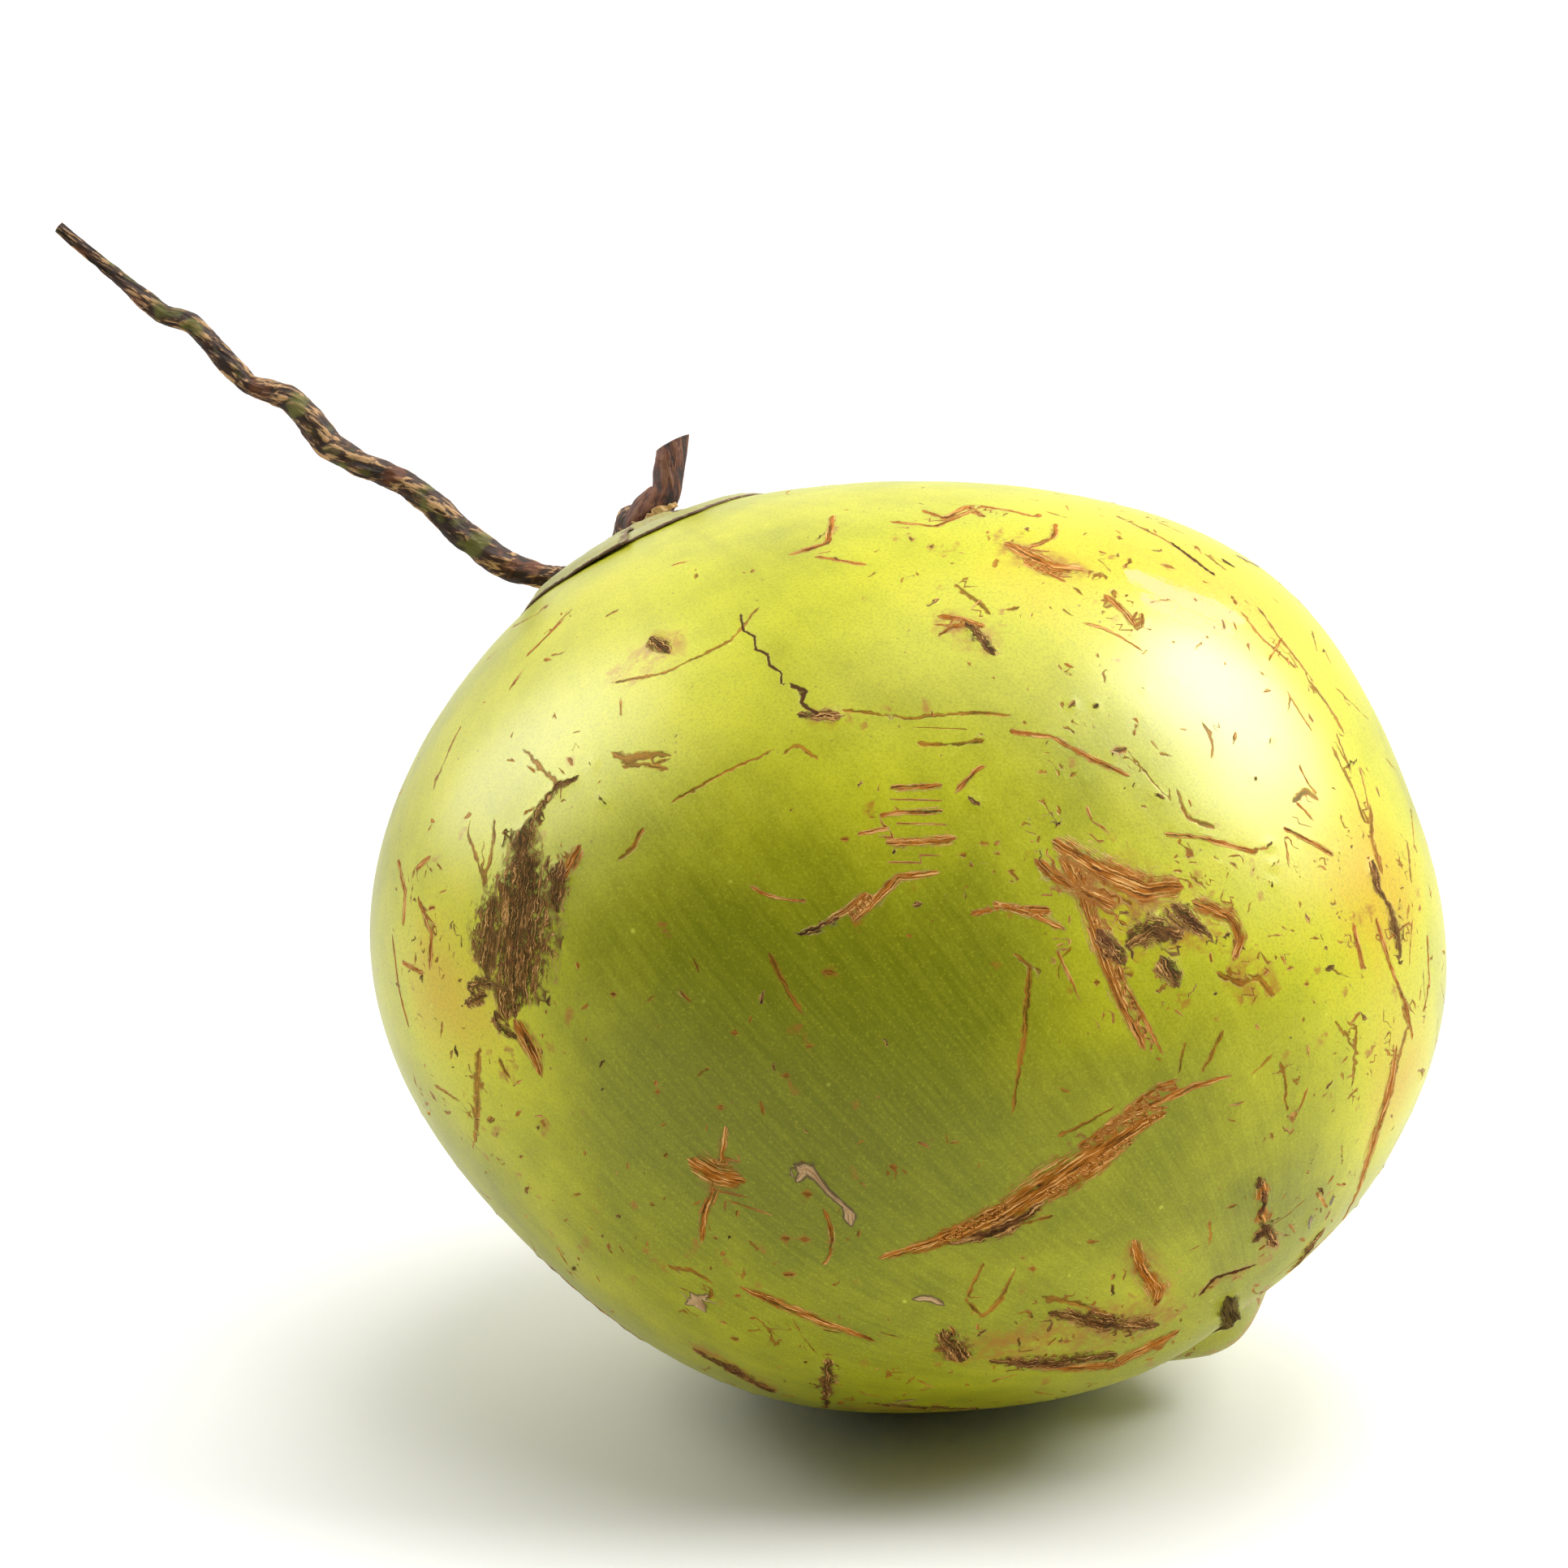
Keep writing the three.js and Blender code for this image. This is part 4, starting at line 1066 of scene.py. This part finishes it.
class COCONUT_OT_calyx(bpy.types.Operator):
    """Lay the three petal scales and the three sepal scales round the stem"""

    bl_idname = "coconut.calyx"
    bl_label = "Calyx"

    def execute(self, context):
        settings = context.scene.coconut_calyx
        gap, thickness = settings.gap / MM, settings.thickness / MM
        petal = dried_leaf("drying_petal_scale", settings.leaf, "#6b5040")
        sepal = dried_leaf("dry_sepal_scale", (0.56, 0.52, 0.27), "#5a4030")
        for i, (azimuth, reach, skew) in enumerate(PETAL_SCALES, 1):
            piece = calyx_scale(
                f"calyx_petal_{i}", azimuth, reach, skew, 3.8, 66, gap, 0.75, thickness, 20 * i
            )
            piece.data.materials.append(petal)
            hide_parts(f"petal_scale_{i}")
            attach(piece, "root")
        for i, (azimuth, reach, skew) in enumerate(SEPAL_SCALES, 1):
            piece = calyx_scale(
                f"calyx_sepal_{i}", azimuth, reach, skew, 4.8, 54, 1.75, 0, thickness, 200 + 20 * i
            )
            piece.data.materials.append(sepal)
            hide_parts(f"sepal_scale_{i}")
            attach(piece, "root")
        return {"FINISHED"}


# ---- Stem ----


def smooth_path(stations, steps):
    """Points, radii and lengths at even steps of a smooth curve through the stations."""
    stations = np.array(stations)
    points, radii = stations[:, :3], stations[:, 3]
    reached = np.vstack([2 * points[0] - points[1], points, 2 * points[-1] - points[-2]])
    slopes = 0.22 * (reached[2:] - reached[:-2])
    t = np.linspace(0, len(points) - 1, 40 * (len(points) - 1) + 1)
    k = np.minimum(t.astype(int), len(points) - 2)
    f = (t - k)[:, None]
    curve = (
        (2 * f**3 - 3 * f**2 + 1) * points[k]
        + (f**3 - 2 * f**2 + f) * slopes[k]
        + (3 * f**2 - 2 * f**3) * points[k + 1]
        + (f**3 - f**2) * slopes[k + 1]
    )
    length = np.concatenate([[0], np.cumsum(np.linalg.norm(np.diff(curve, axis=0), axis=1))])
    even = np.linspace(0, length[-1], steps)
    centre = np.stack([np.interp(even, length, curve[:, i]) for i in range(3)], axis=1)
    radius = np.interp(np.interp(even, length, t), np.arange(len(radii)), radii)
    return centre, radius, even


def limb(name, stations, sides, rows, slant, wrinkle, seed):
    """A round limb of bark along a curve, wrinkled along its length and closed at both ends."""
    centre, radius, length = smooth_path(stations, rows)
    course = np.gradient(centre, axis=0)
    course /= np.linalg.norm(course, axis=1)[:, None]
    first = np.empty_like(centre)
    normal = np.cross(course[0], (0, 1, 0))
    for i, direction in enumerate(course):
        normal = normal - direction * (normal @ direction)
        normal /= np.linalg.norm(normal)
        first[i] = normal
    second = np.cross(course, first)

    caps = 5
    piece, column, row = sheet(name, sides, rows + 2 * caps)
    station = np.rint(row * (rows + 2 * caps)).astype(int) - caps
    inside = np.clip(station, 0, rows - 1)
    over = np.abs(station - inside)
    shrink = np.clip(1 - over / caps, 0, 1)
    angle = 2 * math.pi * column
    place = length[inside]
    twist = angle + place * 0.09
    along = np.stack([2.3 * np.cos(twist), 2.3 * np.sin(twist), place * 0.22], axis=1)
    fine = np.stack([6 * np.cos(twist), 6 * np.sin(twist), place * 0.5], axis=1)
    relief = 0.8 * unevenness(along, seed) + 0.45 * unevenness(fine, seed + 1)
    lumps = unevenness(np.stack([np.cos(angle), np.sin(angle), place * 0.35], axis=1), seed + 2)
    around = radius[inside] * (1 + 0.07 * lumps) + wrinkle * relief
    around = around * shrink
    offset = first[inside] * np.cos(angle)[:, None] + second[inside] * np.sin(angle)[:, None]
    offset = offset * around[:, None]
    points = centre[inside] + offset
    # An oblique cut: the rings lean more and more over the last 5 mm
    cut = slant * offset[:, 0] * np.clip(1 - (length[-1] - place) / 5, 0, 1)
    dome = np.where(over > 0, 0.18 * np.sign(station) * (1 - shrink**2), 0)
    points = points + course[inside] * (cut + dome)[:, None]
    set_coordinates(piece.data, points * MM)
    bark = np.stack([2.3 * np.cos(twist), 2.3 * np.sin(twist), place], axis=1)
    add_attribute(piece.data, "bark", bark)
    add_attribute(piece.data, "cut", np.where(station > rows - 1, 1.0, 0.0))
    add_attribute(piece.data, "groove", relief)

    bpy.ops.object.mode_set(mode="EDIT")
    bpy.ops.mesh.select_all(action="SELECT")
    bpy.ops.mesh.remove_doubles(threshold=0.00001)
    bpy.ops.mesh.normals_make_consistent(inside=False)
    bpy.ops.object.mode_set(mode="OBJECT")
    piece.data.shade_smooth()
    return piece


def dry_bark(name, bark, green_amount, rubbed):
    """Bark that dried on the tree: brittle, wrinkled and matt, dark in the furrows and tan where
    the ridges are rubbed, with olive green left in patches and a pinkish cut end."""
    material, add = new_material(name)
    coords = add("Attribute", out="Vector", attribute_name="bark")
    stretched = add("Mapping", {"Vector": coords, "Scale": (1.0, 1.0, 0.28)})
    # Furrows about 1 mm apart
    furrow = add(
        "TexNoise",
        {"Vector": stretched, "Scale": 1.15, "Detail": 4.0, "Roughness": 0.6, "Distortion": 0.7},
    )
    patches = add("TexNoise", {"Vector": coords, "Scale": 0.16, "Detail": 3.0})
    groove = add("Attribute", out="Fac", attribute_name="groove")
    high = add("Math", (groove, 0.16, furrow), operation="MULTIPLY_ADD")
    ridge = add("MapRange", {"Value": high, "From Min": 0.4, "From Max": 0.56})
    tan = add("MapRange", {"Value": high, "From Min": 0.54, "From Max": 0.64, "To Max": rubbed})
    colour = add("Mix", {0: ridge, 6: linear("#2a1c12"), 7: linear(bark)}, 2, data_type="RGBA")
    colour = add("Mix", {0: tan, 6: colour, 7: linear("#c49a68")}, 2, data_type="RGBA")
    mossy = add(
        "MapRange", {"Value": patches, "From Min": 0.56, "From Max": 0.66, "To Max": green_amount}
    )
    colour = add("Mix", {0: mossy, 6: colour, 7: linear("#6f6f2c")}, 2, data_type="RGBA")
    red = add("MapRange", {"Value": patches, "From Min": 0.42, "From Max": 0.34, "To Max": 0.6})
    colour = add("Mix", {0: red, 6: colour, 7: linear("#7a4424")}, 2, data_type="RGBA")
    cut = add("Attribute", out="Fac", attribute_name="cut")
    colour = add("Mix", {0: cut, 6: colour, 7: linear("#b4836a")}, 2, data_type="RGBA")
    normal = add("Bump", {"Height": high, "Distance": 0.0007, "Strength": 0.8})
    surface = add(
        "BsdfPrincipled", {"Base Color": colour, "Roughness": 0.72, "IOR": 1.3, "Normal": normal}
    )
    add("OutputMaterial", {"Surface": surface}, None)
    return material


class COCONUT_OT_stem(bpy.types.Operator):
    """Grow the cut stub and the long zigzag twig as one dried stem"""

    bl_idname = "coconut.stem"
    bl_label = "Stem"

    def execute(self, context):
        settings = context.scene.coconut_stem
        wrinkle = settings.wrinkle / MM
        stub = limb("stem_stub", STUB, settings.sides, 120, 0.7, wrinkle * 0.4, 41)
        stub.data.materials.append(dry_bark("smooth_dry_stalk", (0.40, 0.21, 0.11), 0.0, 0.15))
        twig = limb("dried_stem", TWIG, settings.sides, 620, 0.0, wrinkle, 51)
        twig.data.materials.append(dry_bark("wrinkled_dry_bark", settings.bark, 0.75, 1.0))
        deselect()
        stub.select_set(True)
        twig.select_set(True)
        context.view_layer.objects.active = twig
        bpy.ops.object.join()
        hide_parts("stem")
        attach(twig, "root")
        return {"FINISHED"}


class COCONUT_OT_bract(bpy.types.Operator):
    """Stand the torn dry bract in front of the stub's foot"""

    bl_idname = "coconut.bract"
    bl_label = "Bract"

    def execute(self, context):
        piece, column, row = sheet("torn_dry_bract", 64, 16)
        across = 2 * column - 1
        at_edge = np.stack([across * 5, 0 * across, 0 * across], axis=1)
        torn = 0.70 + 0.2 * np.sin(5 * across + 1) + 0.22 * unevenness(at_edge * 1.6, 61)
        stemward, front = LIE @ (0, 0, 1), LIE @ (0, -1, 0)
        rightward = LIE @ (1, 0, 0)
        ribs = 0.12 * unevenness(np.stack([across * 9, row, 0 * row], axis=1), 62)
        forward = 5.2 - 0.6 * across**2 + ribs
        points = (
            FRUIT_CENTRE
            + stemward * (93.0 - 0.7 * across)[:, None]
            + rightward * (3.7 + 4.4 * across)[:, None]
            + front * forward[:, None]
            + stemward * (1.7 * np.clip(torn, 0.1, 1) * row)[:, None]
        )
        set_coordinates(piece.data, points * MM)
        add_attribute(piece.data, "rim", 0.6 + 3 * (1 - row))
        add_attribute(piece.data, "veins", np.stack([across * 6, 0 * row, row], axis=1))
        thicken(piece, 0.5 * MM)
        piece.data.materials.append(dried_leaf("papery_tan_bract", "#c87e3c", "#e6ae70"))
        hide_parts("torn_bract")
        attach(piece, "root")
        return {"FINISHED"}


# ---- Stage ----


def softbox(name, place, aim, size, power, shine_only=False):
    """A rectangular soft light at a place, aimed at the fruit, in metres and watts. One that is
    for shine only lights no matt surface."""
    bpy.ops.object.light_add(type="AREA", location=place)
    light = bpy.context.object
    light.name = name
    light.data.shape, light.data.size, light.data.size_y = "RECTANGLE", *size
    light.data.energy = power
    light.visible_diffuse = not shine_only
    light.rotation_euler = (Vector(aim) - Vector(place)).to_track_quat("-Z", "Y").to_euler()


class COCONUT_OT_stage(bpy.types.Operator):
    """Set the pale floor, the soft studio light and the camera"""

    bl_idname = "coconut.stage"
    bl_label = "Stage"

    def execute(self, context):
        settings = context.scene.coconut_stage
        deselect()
        bpy.ops.mesh.primitive_plane_add(size=settings.floor, location=(0, 0, -0.0004))
        floor = context.object
        floor.name = "pale_floor"
        paper = bpy.data.materials.new("white_studio_paper")  # matt, and nearly white
        paper.use_nodes = True
        shader = paper.node_tree.nodes["Principled BSDF"]
        shader.inputs["Base Color"].default_value = linear("#f4f4f2")
        shader.inputs["Roughness"].default_value = 0.9
        floor.data.materials.append(paper)

        # The studio is bright behind and above and dark where the viewer stands
        world = bpy.data.worlds.new("studio")
        world.use_nodes = True
        world.node_tree.nodes.clear()
        add = partial(add_node, world.node_tree)
        facing = add("SeparateXYZ", (add("TexCoord", out="Generated"),), "Y")
        glow = add(
            "MapRange",
            {"Value": facing, "From Min": -0.35, "From Max": 0.8, "To Min": 0.04, "To Max": 1.15},
            interpolation_type="SMOOTHSTEP",
        )
        backdrop = add("Background", {"Color": (1, 1, 1, 1), "Strength": glow})
        add("OutputWorld", {"Surface": backdrop}, None)
        context.scene.world = world

        centre = tuple(FRUIT_CENTRE * MM)
        power = settings.softbox_power
        softbox("left_softbox", (-0.88, 0.1, 0.80), centre, (0.4, 0.4), power * 0.45)
        softbox("right_softbox", (0.85, -0.10, 0.95), centre, (0.55, 0.55), power * 1.4)
        softbox("top_softbox", (0.16, -0.05, 1.25), centre, (1.0, 0.7), power * 1.4)
        softbox("left_shine", (-1.04, 0.15, 0.82), centre, (1.1, 1.1), power * 5.5, True)
        softbox("right_shine", (0.98, -0.02, 0.94), centre, (0.85, 0.85), power * 10, True)
        softbox("backdrop_light", (0.0, 3.2, 2.2), (0.0, 4.5, 0.0), (5.0, 2.0), power * 24)

        bpy.ops.object.camera_add(location=(-0.025105, -0.785806, 0.310683))
        camera = context.object
        aim = Vector((-0.025105, 0.001105, 0.114485))
        camera.rotation_euler = (aim - camera.location).to_track_quat("-Z", "Y").to_euler()
        camera.data.lens, camera.data.sensor_width = settings.lens, 36
        camera.data.clip_end = 40
        context.scene.camera = camera
        context.scene.view_settings.view_transform = "Standard"
        return {"FINISHED"}


class COCONUT_PT_panel(bpy.types.Panel):
    """Lists the steps that grow the coconut"""

    bl_idname = "COCONUT_PT_panel"
    bl_label = "Green Coconut"
    bl_space_type = "VIEW_3D"
    bl_region_type = "UI"
    bl_category = "Coconut"

    def draw(self, context):
        for step in STEPS:
            self.layout.operator(step.bl_idname)


STEPS = (COCONUT_OT_stage, COCONUT_OT_husk, COCONUT_OT_calyx, COCONUT_OT_stem, COCONUT_OT_bract)
GROUPS = {
    "coconut_husk": HuskSettings,
    "coconut_calyx": CalyxSettings,
    "coconut_stem": StemSettings,
    "coconut_stage": StageSettings,
}


def register():
    for made in (*GROUPS.values(), *STEPS, COCONUT_PT_panel):
        bpy.utils.register_class(made)
    for name, group in GROUPS.items():
        setattr(bpy.types.Scene, name, PointerProperty(type=group))


def unregister():
    for name in GROUPS:
        delattr(bpy.types.Scene, name)
    for made in reversed((*GROUPS.values(), *STEPS, COCONUT_PT_panel)):
        bpy.utils.unregister_class(made)


def main():
    register()
    bpy.ops.coconut.stage()
    bpy.ops.coconut.husk()
    bpy.ops.coconut.calyx()
    bpy.ops.coconut.stem()
    bpy.ops.coconut.bract()


if __name__ == "__main__":
    main()
